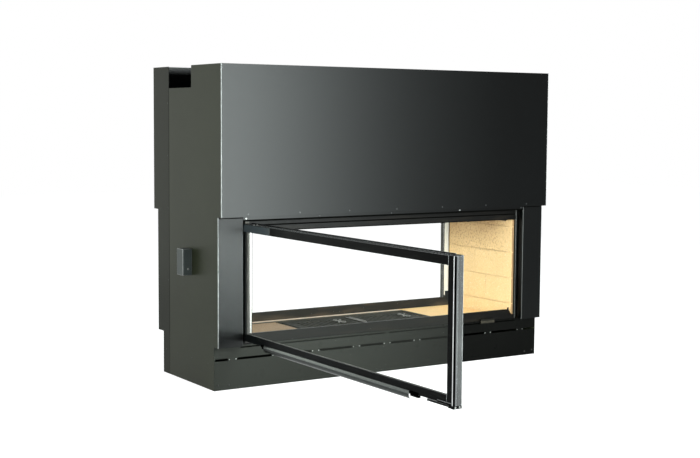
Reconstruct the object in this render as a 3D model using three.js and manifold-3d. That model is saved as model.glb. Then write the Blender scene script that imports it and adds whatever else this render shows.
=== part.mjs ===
// Double-sided see-through fireplace insert: a steel case with a hood and a glazed door on each long side.
// All lengths are in mm. X runs along the width, the front looks along -Y, Z points up.
// The origin is on the floor, midway between the hoods and between the case's sides.
import * as THREE from 'three';
import { mergeVertices } from 'three/addons/utils/BufferGeometryUtils.js';
import Module from 'manifold-3d';

const wasm = await Module();
wasm.setup();

// Case
const caseWidth = 1820;
const caseHalf = caseWidth / 2;
const caseHeight = 1420;
const hoodPlane = 348;
const frontJambStep = 32;
const frontJambPlane = hoodPlane - frontJambStep;
const rearJambStep = 44;
const rearJambPlane = hoodPlane - rearJambStep;
const frontBaseStep = 38;
const frontBasePlane = frontJambPlane - frontBaseStep;
const rearBaseStep = 58;
const rearBasePlane = rearJambPlane - rearBaseStep;
const notchDepth = 98;
const bodyTop = caseHeight - notchDepth;
const hoodBottom = 762;
const jambBottom = 193;
const notchFront = -56;
const seamY = 178;
const sheet = 2;
const seat = 0.3;
const joint = 1;
const hoodTopFlange = 20;
const headerDrop = 17;
const hoodBackLap = 86;
const hoodBackBottom = bodyTop - hoodBackLap;
const innerHalf = caseHalf - sheet - seat;

// Base
const baseTop = 192.7;
const baseLip = 10;
const baseLipThickness = 4;
const basePlateThickness = 3;
const ledgeTop = 165.7;
const ledgeThickness = 4;
const ledgeDepth = 36;
const slotBottom = 129;
const slotHeight = 10;
const slotEdge = 4;
const tabWidth = 45;
const tabCentreShares = [-0.9, -0.66, -0.433, -0.19, 0, 0.19, 0.43, 0.665, 0.89];
const airSlotBottom = 180.5;
const airSlotHeight = 5.5;
const airSlotInner = 10;

// Opening and its frame
const jambWidth = 123;
const openingHalf = caseHalf - jambWidth;
const jambReturn = 24;
const doorSetback = 3;
const doorThickness = 34;
const doorToFrame = 4;
const frameGap = 11.3;
const frameHalf = openingHalf - frameGap;
const airSlotEnd = 7;
const airSlotOuter = openingHalf - airSlotEnd;
const sillTop = 240;
const sillPlate = 4;
const sillFlange = 8;
const sillEnd = 36.7;
const sillFlatHalf = frameHalf - sillEnd;
const sillPegWidth = 8;
const sillPegTop = 250;
const sillSlope = 18;
const sillShoulderX = sillFlatHalf + sillSlope;
const sillShoulderZ = 214;
const lintelBottom = 695;
const lintelPlate = 8;
const lintelGrooveBottom = 717;
const lintelGrooveHeight = 5;
const lintelGrooveDepth = 4;
const lintelFlangeDepth = 35;
const lintelFlangeThickness = 4;
const lintelFlangeEnd = 18.7;
const lintelFlangeHalf = frameHalf - lintelFlangeEnd;
const lintelWedgeLength = 80;
const lintelWedgeDrop = 9;
const lintelWedgeReturn = 5;
const lintelWedgeInset = 56.7;
const lintelWedgeEnd = frameHalf - lintelWedgeInset;
const lintelWedgeTip = lintelWedgeEnd - lintelWedgeReturn;
const lintelWedgeStart = lintelWedgeTip - lintelWedgeLength;

// Guide rails
const railWidth = 36;
const railInner = frameHalf + seat;
const railOuter = railInner + railWidth;
const railDepth = 32;
const railLeg = 4;
const railWeb = 3;
const railHeadroom = 22;
const railTop = bodyTop - railHeadroom;
const bracketWidth = 90;
const bracketOuter = railInner + bracketWidth;
const bracketOverlap = 40;
const bracketHeadroom = 20;
const bracketTop = caseHeight - bracketHeadroom;

// Lift of the rear door
const cableX = (railInner + railOuter) / 2;
const cableFromWeb = 16;
const cableRadius = 2;
const pulleyDrop = 38;
const pulleyCentreZ = bracketTop - pulleyDrop;
const pulleyPitch = 30;
const pulleyFlange = 34;
const pulleyThickness = 12;
const pulleyGroove = 5.2;
const pulleyPin = 6;
const pulleyPinPast = 2;
const pulleyBore = 6.1;
const cableArcSteps = 10;
const cableSides = 6;
const weightWidth = 56;
const weightDepth = 54;
const weightHeight = 410;
const weightHang = 112;
const weightTop = pulleyCentreZ - weightHang;
const weightBottom = weightTop - weightHeight;
const weightBevel = 5;
const weightBore = 7;

// Firebox
const liningStep = 27;
const liningInner = openingHalf - liningStep;
const liningThickness = 38;
const liningNose = 12;
const noseSetback = 50;
const slabSetback = 75;
const fireboxTop = hoodBottom - sheet - seat;
const floorTop = 170;
const floorThickness = 4;
const floorPast = 3;
const floorHalf = railOuter + floorPast;
const hearthTop = 200;
const hearthEnd = 2;
const hearthHalf = liningInner - hearthEnd;
const plateLeft = -354;
const plateRight = 390;
const plateFront = -130;
const plateRear = 170;
const plateTop = 198;
const grateLength = 300;
const grateWidth = 200;
const grateThickness = 12;
const grateLedge = 10;
const grateMidGap = 24;
const grateBarGap = 10;
const grateRim = 16;
const grateSlots = 11;
const ribWidth = 8;
const ribTop = 204;

// Smoke dome and flue collar
const domeEnd = 1.7;
const domeHalf = frameHalf - domeEnd;
const domeSetback = 76;
const domeWall = 4;
const domeShoulderDrop = 92;
const domeShoulder = bodyTop - domeShoulderDrop;
const flueY = 61;
const domeTopHalf = 112;
const flueRadius = 100;
const neckPast = 23;
const neckTop = bodyTop + neckPast;
const topHoleClearance = 0.5;
const collarWall = 3;
const collarHeight = 78;
const collarTop = bodyTop + collarHeight;
const collarFlange = 114;
const collarFlangeThickness = 4;
const roundSides = 32;

// Doors: x from the hinge axis, y from the middle of the thickness, z from the bottom edge
const hingeSetback = 25;
const hingeX = openingHalf - hingeSetback;
const doorHingeEdge = 8;
const doorLatchEdge = hingeX + hingeX + doorHingeEdge;
const doorHeight = 513;
const frontDoorBottom = 216;
const rearDoorBottom = 201;
const doorRail = 33.5;
const latchStile = 42;
const endPost = 14;
const profileWall = 3;
const glassLap = 11;
const glassThickness = 4;
const postDrop = 4;
const postBead = 2;
const postBeadWidth = 6;
const frontDoorOpenDeg = 90;
const hingePin = 4;
const hingePinLength = 14;
const hingePinHole = 4.2;
const hingeBlock = 16;
const hingeBlockWidth = 20;
const hingeArm = 10;
const hingeArmGap = 2;
const hingeBarInset = 6;
const hingeBarInner = railInner + hingeBarInset;
const hingeBarOuter = railOuter - hingeBarInset;
const hingeBarStep = 45;
const hingeBarFront = frontJambPlane - hingeBarStep;
const hingeArmStep = 28;
const hingeArmFront = frontJambPlane - hingeArmStep;
const hingeArmDepth = 9;
const hingeArmBack = hingeArmFront - hingeArmDepth;
const hingeEye = 10;
const handleStart = 198;
const handleEndStep = 242;
const handleEnd = doorLatchEdge - handleEndStep;
const handleRadius = 13;
const handleWall = 2.5;
const handleForward = 9;
const handleOpenDeg = 110;
const handleSteps = 14;
const shoeReach = 36;
const shoeInset = 26;
const shoePlate = 3.4;
const shoeBlockWidth = 24;
const shoeBlockDepth = 22;
const shoeHeight = 50;
const shoeLow = 20;
const shoeHigh = 440;

// Door latch
const latchInset = 32;
const latchPivotX = doorLatchEdge - latchInset;
const latchLength = 132;
const latchWidth = 14;
const latchThickness = 8;
const latchDrop = 5;
const latchBoss = 15;
const latchTail = 24;
const latchTipRadius = 9;

// Air levers
const airTabStep = 147;
const airTabRight = openingHalf - airTabStep;
const airTabLength = 85;
const airTabLeft = airTabRight - airTabLength;
const airTabBottom = 181.1;
const airTabTop = 204;
const airTabForward = 8;
const airTabThickness = 3;
const airTongueThickness = 3;
const airKeeperBottom = 176;
const airKeeperTop = 188;
const airKeeperBack = 7;

// Cover box on the left side
const boxOut = 45;
const boxFront = -62;
const boxRear = 0;
const boxBottom = 488;
const boxTop = 606;
const boxWall = 2;

const group = new THREE.Group();
group.name = 'double_sided_fireplace';

// Finishes
const paint = (color) => new THREE.MeshStandardMaterial({ color, roughness: 0.45, metalness: 0.35 });
const hoodPaint = () => paint(0x4a4f4e);
const sidePaint = () => paint(0x3c3e39);
const framePaint = () => paint(0x1e2021);
const doorPaint = () => paint(0x23282c);
const galvanised = () => new THREE.MeshStandardMaterial({ color: 0x9aa0a2, roughness: 0.35, metalness: 0.9 });
const brushed = () => new THREE.MeshStandardMaterial({ color: 0x878d92, roughness: 0.3, metalness: 0.95 });
const ironFinish = () => new THREE.MeshStandardMaterial({ color: 0x2b2926, roughness: 0.7, metalness: 0.5 });
const firebrick = () => new THREE.MeshStandardMaterial({ color: 0xe6c07f, roughness: 0.9, metalness: 0 });
const bronze = () => new THREE.MeshStandardMaterial({ color: 0x6d6248, roughness: 0.4, metalness: 0.8 });
const glassLook = { color: 0xdfe8e4, roughness: 0.05, metalness: 0, transparent: true, opacity: 0.2 };
const clearGlass = () => new THREE.MeshStandardMaterial(glassLook);

// Solid bodies
function block([x0, x1], [y0, y1], [z0, z1]) {
  const body = new THREE.BoxGeometry(x1 - x0, y1 - y0, z1 - z0);
  body.translate((x0 + x1) / 2, (y0 + y1) / 2, (z0 + z1) / 2);
  return body;
}

function toSolid(geometry) {
  const bare = geometry.clone();
  bare.deleteAttribute('normal');
  bare.deleteAttribute('uv');
  const merged = mergeVertices(bare);
  const vertProperties = new Float32Array(merged.attributes.position.array);
  const triVerts = new Uint32Array(merged.index.array);
  return new wasm.Manifold(new wasm.Mesh({ numProp: 3, vertProperties, triVerts }));
}

function toGeometry(solid) {
  const mesh = solid.getMesh();
  const geometry = new THREE.BufferGeometry();
  geometry.setAttribute('position', new THREE.BufferAttribute(new Float32Array(mesh.vertProperties), 3));
  geometry.setIndex(new THREE.BufferAttribute(new Uint32Array(mesh.triVerts), 1));
  geometry.computeVertexNormals();
  return geometry;
}

function combine(joined, removed = []) {
  let solid = toSolid(joined[0]);
  for (const piece of joined.slice(1)) solid = solid.add(toSolid(piece));
  for (const piece of removed) solid = solid.subtract(toSolid(piece));
  return toGeometry(solid);
}

// A flat outline in X and Z, thickened along Y from y0 to y1
function upright(points, y0, y1) {
  const body = new THREE.ExtrudeGeometry(new THREE.Shape(points), { depth: y1 - y0, bevelEnabled: false });
  body.rotateX(Math.PI / 2);
  body.translate(0, y1, 0);
  return body;
}

// A flat outline in X and Y, raised from z0 to z1
function raised(points, z0, z1) {
  const body = new THREE.ExtrudeGeometry(new THREE.Shape(points), { depth: z1 - z0, bevelEnabled: false });
  body.translate(0, 0, z0);
  return body;
}

// An outline in Y and Z, run along X from x0 to x1
function along(points, x0, x1) {
  const body = new THREE.ExtrudeGeometry(new THREE.Shape(points), { depth: x1 - x0, bevelEnabled: false });
  body.rotateX(Math.PI / 2);
  body.rotateZ(Math.PI / 2);
  body.translate(x0, 0, 0);
  return body;
}

const point = (a, b) => new THREE.Vector2(a, b);

function post(radius, x, y, z0, z1) {
  const body = new THREE.CylinderGeometry(radius, radius, z1 - z0, roundSides);
  body.rotateX(Math.PI / 2);
  body.translate(x, y, (z0 + z1) / 2);
  return body;
}

function put(parent, name, geometry, material) {
  const mesh = new THREE.Mesh(geometry, material);
  mesh.name = name;
  parent.add(mesh);
  return mesh;
}

// The two long sides: each is described looking along -Y, and the rear one is turned half a turn
const front = { tag: 'front', jamb: frontJambPlane, base: frontBasePlane, turn: 0, left: -1 };
const rear = { tag: 'rear', jamb: rearJambPlane, base: rearBasePlane, turn: Math.PI, left: 1 };
const framePlane = (side) => side.jamb - doorSetback - doorThickness - doorToFrame;
const hand = (side, sign) => (sign === side.left ? 'left' : 'right');
const bothHands = [-1, 1];
const ordered = (a, b) => (a < b ? [a, b] : [b, a]);
const handed = (sign, inner, outer) => ordered(sign * inner, sign * outer);
const around = (centre, size) => [centre - size / 2, centre + size / 2];

// Base panel with its row of air slots, a long slot for the air lever, a top lip and the floor's ledge
function baseSlots(side) {
  const y = [-side.base - sheet, -side.base + sheet + sheet];
  const z = [slotBottom, slotBottom + slotHeight];
  const centres = tabCentreShares.map((share) => share * caseHalf);
  const starts = [-caseHalf + slotEdge, ...centres.map((c) => c + tabWidth / 2)];
  const ends = [...centres.map((c) => c - tabWidth / 2), caseHalf - slotEdge];
  const slots = starts.map((start, i) => block([start, ends[i]], y, z));
  const air = [airSlotBottom, airSlotBottom + airSlotHeight];
  return [...slots, ...bothHands.map((s) => block(handed(s, airSlotInner, airSlotOuter), y, air))];
}

function basePanel(parent, side) {
  const outer = -side.base;
  const inner = outer + sheet;
  const lip = [baseTop - baseLipThickness, baseTop];
  const panel = block([-caseHalf, caseHalf], [outer, inner], [0, baseTop]);
  const top = block([-innerHalf, innerHalf], [outer, outer + baseLip], lip);
  const ledgeY = [outer, inner + ledgeDepth];
  const ledge = block([-innerHalf, innerHalf], ledgeY, [ledgeTop - ledgeThickness, ledgeTop]);
  put(parent, `base_${side.tag}`, combine([panel, top, ledge], baseSlots(side)), sidePaint());
}

// Hood front with a top flange and a shelf that turns down as a header behind its lower edge
function hoodPanel(parent, side) {
  const outer = -hoodPlane;
  const inner = outer + sheet;
  const panel = block([-caseHalf, caseHalf], [outer, inner], [hoodBottom, caseHeight]);
  const top = block([-innerHalf, innerHalf], [outer, inner + hoodTopFlange], [caseHeight - sheet, caseHeight]);
  const shelf = block([-innerHalf, innerHalf], [outer, -side.jamb + sheet], [hoodBottom, hoodBottom + sheet]);
  const headerX = [-openingHalf + seat, openingHalf - seat];
  const headerZ = [hoodBottom - headerDrop, hoodBottom + sheet];
  const header = block(headerX, [-side.jamb, -side.jamb + sheet], headerZ);
  put(parent, `hood_${side.tag}`, combine([panel, top, shelf, header]), hoodPaint());
}

// Jamb: a narrow front plate with a return along the opening
function jamb(parent, side, sign) {
  const outer = -side.jamb;
  const z = [jambBottom, hoodBottom - seat];
  const plate = block(handed(sign, openingHalf, caseHalf), [outer, outer + sheet], z);
  const edge = block(handed(sign, openingHalf, openingHalf + sheet), [outer, outer + sheet + jambReturn], z);
  put(parent, `jamb_${side.tag}_${hand(side, sign)}`, combine([plate, edge]), hoodPaint());
}

// Sill: a plate whose ends fall away outside two small pegs
function sill(parent, side) {
  const face = -framePlane(side);
  const bottom = baseTop + seat;
  const half = [
    point(sillFlatHalf - sillPegWidth, sillTop),
    point(sillFlatHalf - sillPegWidth, sillPegTop),
    point(sillFlatHalf, sillPegTop),
    point(sillFlatHalf, sillTop),
    point(sillShoulderX, sillShoulderZ),
    point(frameHalf, sillShoulderZ),
    point(frameHalf, bottom),
  ];
  const mirrored = half.map((p) => point(-p.x, p.y)).reverse();
  const plate = upright([...half, ...mirrored], face, face + sillPlate);
  const flangeX = [-sillFlatHalf + sillPegWidth, sillFlatHalf - sillPegWidth];
  const flange = block(flangeX, [face, face + sillPlate + sillFlange], [sillTop - sillPlate, sillTop]);
  put(parent, `sill_${side.tag}`, combine([plate, flange]), framePaint());
}

// Lintel: a grooved plate with a thin wedge under each end and a flange that carries the dome
function lintel(parent, side) {
  const face = -framePlane(side);
  const half = [
    point(lintelWedgeStart, lintelBottom),
    point(lintelWedgeTip, lintelBottom - lintelWedgeDrop),
    point(lintelWedgeEnd, lintelBottom),
    point(frameHalf, lintelBottom),
    point(frameHalf, fireboxTop),
  ];
  const mirrored = half.map((p) => point(-p.x, p.y)).reverse();
  const plate = upright([...half, ...mirrored], face, face + lintelPlate);
  const flangeY = [face, face + lintelPlate + lintelFlangeDepth];
  const flangeZ = [fireboxTop - lintelFlangeThickness, fireboxTop];
  const flange = block([-lintelFlangeHalf, lintelFlangeHalf], flangeY, flangeZ);
  const grooveZ = [lintelGrooveBottom, lintelGrooveBottom + lintelGrooveHeight];
  const groove = block([-caseHalf, caseHalf], [face - lintelGrooveDepth, face + lintelGrooveDepth], grooveZ);
  put(parent, `lintel_${side.tag}`, combine([plate, flange], [groove]), framePaint());
}

// Guide rail: a channel open towards the door; the rear ones carry a bracket with the pulley's pin
function railChannel(side, sign) {
  const face = -framePlane(side);
  const back = face + railDepth;
  const z = [baseTop + seat, railTop];
  const legs = [
    block(handed(sign, railInner, railInner + railLeg), [face, back], z),
    block(handed(sign, railOuter - railLeg, railOuter), [face, back], z),
  ];
  return [block(handed(sign, railInner, railOuter), [back - railWeb, back], z), ...legs];
}

const webPlane = (side) => -framePlane(side) + railDepth - railWeb;
const cablePlane = (side) => webPlane(side) - cableFromWeb;

function pulleyMount(side, sign) {
  const back = webPlane(side);
  const plateZ = [railTop - bracketOverlap, bracketTop];
  const plate = block(handed(sign, railInner, bracketOuter), [back, back + railWeb], plateZ);
  const reach = cableFromWeb + pulleyThickness / 2 + pulleyPinPast + railWeb;
  const pin = new THREE.CylinderGeometry(pulleyPin, pulleyPin, reach, roundSides);
  pin.translate(sign * (cableX + pulleyPitch), back + railWeb - reach / 2, pulleyCentreZ);
  return [plate, pin];
}

function guideRail(parent, side, sign) {
  const pieces = railChannel(side, sign);
  if (side === rear) pieces.push(...pulleyMount(side, sign));
  put(parent, `guide_rail_${side.tag}_${hand(side, sign)}`, combine(pieces), galvanised());
}

// Pulley, cable and balance weight of the rear door
function pulley(parent, side, sign) {
  const half = pulleyThickness / 2;
  const seatRadius = pulleyPitch - cableRadius - seat;
  const profile = [
    point(pulleyBore, -half),
    point(pulleyFlange, -half),
    point(seatRadius, -pulleyGroove / 2),
    point(seatRadius, pulleyGroove / 2),
    point(pulleyFlange, half),
    point(pulleyBore, half),
    point(pulleyBore, -half),
  ];
  const name = `lift_pulley_${hand(side, sign)}`;
  const mesh = put(parent, name, new THREE.LatheGeometry(profile, roundSides), brushed());
  mesh.position.set(sign * (cableX + pulleyPitch), cablePlane(side), pulleyCentreZ);
}

// The cable of one side: up from the door's shoe, over the pulley and down to the weight
class CableRun extends THREE.Curve {
  constructor(stations) {
    super();
    this.stations = stations;
  }

  getPointAt(u) {
    const last = this.stations.length - 1;
    return this.stations[Math.min(Math.round(u * last), last)].clone();
  }

  getTangentAt(u) {
    const last = this.stations.length - 1;
    const i = Math.min(Math.round(u * last), last);
    const before = this.stations[Math.max(i - 1, 0)];
    const after = this.stations[Math.min(i + 1, last)];
    return after.clone().sub(before).normalize();
  }
}

function cable(parent, side, sign) {
  const y = cablePlane(side);
  const centreX = cableX + pulleyPitch;
  const shoeTop = rearDoorBottom + shoeHigh + shoeHeight;
  const stations = [new THREE.Vector3(sign * cableX, y, shoeTop + seat)];
  for (let i = 0; i <= cableArcSteps; i += 1) {
    const turn = Math.PI * (1 - i / cableArcSteps);
    const x = centreX + pulleyPitch * Math.cos(turn);
    stations.push(new THREE.Vector3(sign * x, y, pulleyCentreZ + pulleyPitch * Math.sin(turn)));
  }
  stations.push(new THREE.Vector3(sign * (cableX + pulleyPitch + pulleyPitch), y, weightTop + seat));
  const round = new THREE.Shape().absarc(0, 0, cableRadius, 0, Math.PI * 2, false);
  const steps = stations.length - 1;
  const options = { steps, curveSegments: cableSides / 2, extrudePath: new CableRun(stations) };
  put(parent, `lift_cable_${hand(side, sign)}`, new THREE.ExtrudeGeometry(round, options), galvanised());
}

function balanceWeight(parent, side, sign) {
  const x = weightWidth / 2;
  const y = weightDepth / 2;
  const outline = [
    point(-x + weightBevel, -y),
    point(x - weightBevel, -y),
    point(x, -y + weightBevel),
    point(x, y - weightBevel),
    point(x - weightBevel, y),
    point(-x + weightBevel, y),
    point(-x, y - weightBevel),
    point(-x, -y + weightBevel),
  ];
  const bore = block(around(0, weightBore), around(0, weightBore), [-joint, weightHeight + joint]);
  const name = `lift_weight_${hand(side, sign)}`;
  const mesh = put(parent, name, combine([raised(outline, 0, weightHeight)], [bore]), ironFinish());
  mesh.position.set(sign * (cableX + pulleyPitch + pulleyPitch), cablePlane(side), weightBottom);
}

// Air lever: a folded tab that slides along its slot, held by a keeper behind the panel
function airLever(parent, side) {
  const x = [airTabLeft, airTabRight];
  const outer = -side.base - airTabForward;
  const back = -side.base + airKeeperBack;
  const tab = block(x, [outer, outer + airTabThickness], [airTabBottom, airTabTop]);
  const tongue = block(x, [outer, back], [airTabBottom, airTabBottom + airTongueThickness]);
  const keeper = block(x, [back - airTabThickness, back], [airKeeperBottom, airKeeperTop]);
  put(parent, `air_lever_${side.tag}`, combine([tab, tongue, keeper]), bronze());
}

function longSide(side) {
  const assembly = new THREE.Group();
  assembly.name = `${side.tag}_side`;
  assembly.rotation.z = side.turn;
  basePanel(assembly, side);
  hoodPanel(assembly, side);
  sill(assembly, side);
  lintel(assembly, side);
  airLever(assembly, side);
  for (const sign of bothHands) {
    jamb(assembly, side, sign);
    guideRail(assembly, side, sign);
  }
  group.add(assembly);
  return assembly;
}

const frontSide = longSide(front);
const rearSide = longSide(rear);
for (const sign of bothHands) {
  pulley(rearSide, rear, sign);
  cable(rearSide, rear, sign);
  balanceWeight(rearSide, rear, sign);
}

// Stepped side sheets, one in front of the seam and one behind it, on each end of the case
function sideSheets(sign) {
  const x = handed(sign, caseHalf - sheet, caseHalf);
  const name = sign < 0 ? 'left' : 'right';
  const baseY = -frontBasePlane + sheet + seat;
  const jambY = -frontJambPlane + sheet + seat;
  const hoodY = -hoodPlane + sheet + seat;
  const frontOutline = [
    point(baseY, 0),
    point(seamY, 0),
    point(seamY, bodyTop),
    point(notchFront, bodyTop),
    point(notchFront, caseHeight),
    point(hoodY, caseHeight),
    point(hoodY, hoodBottom),
    point(jambY, hoodBottom),
    point(jambY, jambBottom),
    point(baseY, jambBottom),
  ];
  const rearOutline = [
    point(seamY + seat, 0),
    point(rearBasePlane - sheet - seat, 0),
    point(rearBasePlane - sheet - seat, jambBottom),
    point(rearJambPlane - sheet - seat, jambBottom),
    point(rearJambPlane - sheet - seat, hoodBottom),
    point(hoodPlane - sheet - seat, hoodBottom),
    point(hoodPlane - sheet - seat, caseHeight),
    point(seamY + seat, caseHeight),
  ];
  put(group, `side_sheet_${name}_front`, along(frontOutline, ...x), sidePaint());
  put(group, `side_sheet_${name}_rear`, along(rearOutline, ...x), sidePaint());
}

bothHands.forEach(sideSheets);

// Floor plate of the case and the plates that close the hoods and the body's top
const across = [-innerHalf, innerHalf];
const baseY = [-frontBasePlane + sheet + seat, rearBasePlane - sheet - seat];
put(group, 'base_plate', block(across, baseY, [0, basePlateThickness]), sidePaint());

const hoodBackZ = [hoodBackBottom, caseHeight - sheet];
put(group, 'hood_back_front', block(across, [notchFront - sheet, notchFront], hoodBackZ), hoodPaint());
put(group, 'hood_back_rear', block(across, [seamY, seamY + sheet], hoodBackZ), hoodPaint());

const neckRadius = flueRadius + domeWall;
const topY = [notchFront + seat, seamY - seat];
const topHole = post(neckRadius + topHoleClearance, 0, flueY, bodyTop - sheet - joint, bodyTop + joint);
put(group, 'top_plate', combine([block(across, topY, [bodyTop - sheet, bodyTop])], [topHole]), sidePaint());

// Smoke dome: a four-sided funnel that ends in a round neck
function funnel(halfX, [y0, y1], z0, topHalf, z1) {
  const body = new THREE.BoxGeometry(1, 1, 1);
  const corners = body.attributes.position;
  for (let i = 0; i < corners.count; i += 1) {
    const [right, back, up] = [corners.getX(i) > 0, corners.getY(i) > 0, corners.getZ(i) > 0];
    const x = up ? topHalf : halfX;
    const low = up ? flueY - topHalf : y0;
    const high = up ? flueY + topHalf : y1;
    corners.setXYZ(i, right ? x : -x, back ? high : low, up ? z1 : z0);
  }
  return body;
}

function smokeDome() {
  const z0 = fireboxTop + seat;
  const y = [-frontJambPlane + domeSetback, rearJambPlane - domeSetback];
  const innerY = [y[0] + domeWall, y[1] - domeWall];
  const outer = funnel(domeHalf, y, z0, domeTopHalf, domeShoulder);
  const innerTopHalf = domeTopHalf - domeWall;
  const inner = funnel(domeHalf - domeWall, innerY, z0 - joint, innerTopHalf, domeShoulder - domeWall);
  const neck = post(neckRadius, 0, flueY, domeShoulder - domeWall, neckTop);
  const bore = post(flueRadius, 0, flueY, domeShoulder - domeTopHalf, neckTop + joint);
  return combine([outer, neck], [inner, bore]);
}

put(group, 'smoke_dome', smokeDome(), galvanised());

// Flue collar: a flanged ring on the top plate, around the dome's neck
function flueCollar() {
  const inner = neckRadius + topHoleClearance;
  const outer = inner + collarWall;
  const height = collarTop - bodyTop - seat;
  const profile = [
    point(inner, 0),
    point(collarFlange, 0),
    point(collarFlange, collarFlangeThickness),
    point(outer, collarFlangeThickness),
    point(outer, height),
    point(inner, height),
    point(inner, 0),
  ];
  const mesh = put(group, 'flue_collar', new THREE.LatheGeometry(profile, roundSides), galvanised());
  mesh.rotation.x = Math.PI / 2;
  mesh.position.set(0, flueY, bodyTop + seat);
}

flueCollar();

// Firebox: floor, end linings with a thin nose beside each guide rail, and hearth tiles round an iron plate
const floorZ = [floorTop - floorThickness, floorTop];
put(group, 'firebox_floor', block([-floorHalf, floorHalf], baseY, floorZ), sidePaint());

function lining(sign) {
  const slabY = [-frontJambPlane + slabSetback, rearJambPlane - slabSetback];
  const noseY = [-frontJambPlane + noseSetback, rearJambPlane - noseSetback];
  const slabX = handed(sign, liningInner, liningInner + liningThickness);
  const slab = block(slabX, slabY, [floorTop + seat, fireboxTop]);
  const noseX = handed(sign, liningInner, liningInner + liningNose);
  const nose = block(noseX, noseY, [baseTop + joint, fireboxTop]);
  put(group, `lining_${sign < 0 ? 'left' : 'right'}`, combine([slab, nose]), firebrick());
}

bothHands.forEach(lining);

const hearthY = [-frontBasePlane + baseLip + joint + joint, rearBasePlane - baseLip - joint - joint];
const tileZ = [floorTop + seat, hearthTop];
function tile(name, x, y) {
  put(group, name, block(x, y, tileZ), firebrick());
}

tile('hearth_tile_left', [-hearthHalf, plateLeft - joint], [hearthY[0], plateRear]);
tile('hearth_tile_right', [plateRight + joint, hearthHalf], [hearthY[0], plateRear]);
tile('hearth_strip_front', [plateLeft, plateRight], [hearthY[0], plateFront - joint]);
tile('hearth_strip_rear', [-hearthHalf, hearthHalf], [plateRear + joint, hearthY[1]]);

const plateMidX = (plateLeft + plateRight) / 2;
const plateMidY = (plateFront + plateRear) / 2;
const grateX = (sign) => plateMidX + (sign * (grateLength + grateMidGap)) / 2;

function hearthPlate() {
  const body = block([plateLeft, plateRight], [plateFront, plateRear], [floorTop + seat, plateTop]);
  const rib = block(around(plateMidX, ribWidth), around(plateMidY, grateWidth), [plateTop - joint, ribTop]);
  const cuts = bothHands.flatMap((sign) => {
    const rebateZ = [plateTop - grateThickness - seat, plateTop + joint];
    const rebateX = around(grateX(sign), grateLength + joint);
    const throughX = around(grateX(sign), grateLength - grateLedge - grateLedge);
    const throughY = around(plateMidY, grateWidth - grateLedge - grateLedge);
    return [
      block(rebateX, around(plateMidY, grateWidth + joint), rebateZ),
      block(throughX, throughY, [0, plateTop]),
    ];
  });
  put(group, 'hearth_plate', combine([body, rib], cuts), ironFinish());
}

hearthPlate();

function grate(sign) {
  const z = [plateTop - grateThickness, plateTop];
  const body = block(around(grateX(sign), grateLength), around(plateMidY, grateWidth), z);
  const pitch = (grateLength - grateRim - grateRim + grateBarGap) / grateSlots;
  const slotY = around(plateMidY, grateWidth - grateRim - grateRim);
  const slots = Array.from({ length: grateSlots }, (_, i) => {
    const x = grateX(sign) + (i - (grateSlots - 1) / 2) * pitch;
    return block(around(x, grateBarGap), slotY, [0, caseHeight]);
  });
  put(group, `grate_${sign < 0 ? 'left' : 'right'}`, combine([body], slots), ironFinish());
}

bothHands.forEach(grate);

// Cover box on the left side, open towards the side sheet
function sideBox() {
  const x = -caseHalf - seat;
  const outer = block([x - boxOut, x], [boxFront, boxRear], [boxBottom, boxTop]);
  const hollowY = [boxFront + boxWall, boxRear - boxWall];
  const hollow = block([x - boxOut + boxWall, x + joint], hollowY, [boxBottom + boxWall, boxTop - boxWall]);
  put(group, 'side_box', combine([outer], [hollow]), sidePaint());
}

sideBox();

// Hinge bar of the front door: it fills the left guide rail and reaches forward with two pinned arms
function hingeBar() {
  const doorY = -frontJambPlane + doorSetback + doorThickness / 2;
  const top = frontDoorBottom + doorHeight;
  const lowArm = [frontDoorBottom - seat - hingeArm, frontDoorBottom - seat];
  const highArm = [top + hingeArmGap, top + hingeArmGap + hingeArm];
  const barX = [-hingeBarOuter, -hingeBarInner];
  const barY = [-hingeBarFront, -framePlane(front) + railDepth - railWeb - seat];
  const pieces = [block(barX, barY, [lowArm[0], highArm[1]])];
  for (const z of [lowArm, highArm]) {
    pieces.push(block(barX, [-hingeArmFront, -hingeBarFront + joint], z));
    pieces.push(block([-hingeBarOuter, -hingeX + hingeEye], [-hingeArmFront, -hingeArmBack], z));
    pieces.push(block(around(-hingeX, hingeEye + hingeEye), [doorY - hingeEye, -hingeArmBack], z));
  }
  pieces.push(post(hingePin, -hingeX, doorY, lowArm[0], frontDoorBottom + hingePinLength));
  pieces.push(post(hingePin, -hingeX, doorY, top - hingePinLength, highArm[1]));
  put(frontSide, 'door_hinge_bar', combine(pieces), galvanised());
}

hingeBar();

// Door frame profiles: a channel open towards the glass, measured inwards from the door's edge
const halfThick = doorThickness / 2;

function channel(reach) {
  return [
    point(0, -halfThick),
    point(reach, -halfThick),
    point(reach, -halfThick + profileWall),
    point(profileWall, -halfThick + profileWall),
    point(profileWall, halfThick - profileWall),
    point(reach, halfThick - profileWall),
    point(reach, halfThick),
    point(0, halfThick),
  ];
}

const railSpan = [-doorHingeEdge + doorRail + seat, doorLatchEdge - latchStile - seat];

function doorRails(parent, tag) {
  const low = channel(doorRail).map((p) => point(p.y, p.x));
  const high = channel(doorRail).map((p) => point(p.y, doorHeight - p.x));
  put(parent, `${tag}_door_rail_bottom`, along(low, ...railSpan), doorPaint());
  put(parent, `${tag}_door_rail_top`, along(high, ...railSpan), doorPaint());
}

function hingeStileBody() {
  return raised(channel(doorRail).map((p) => point(p.x - doorHingeEdge, p.y)), 0, doorHeight);
}

function latchStileBody(edge, reach) {
  return raised(channel(reach).map((p) => point(edge - p.x, p.y)), 0, doorHeight);
}

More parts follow.
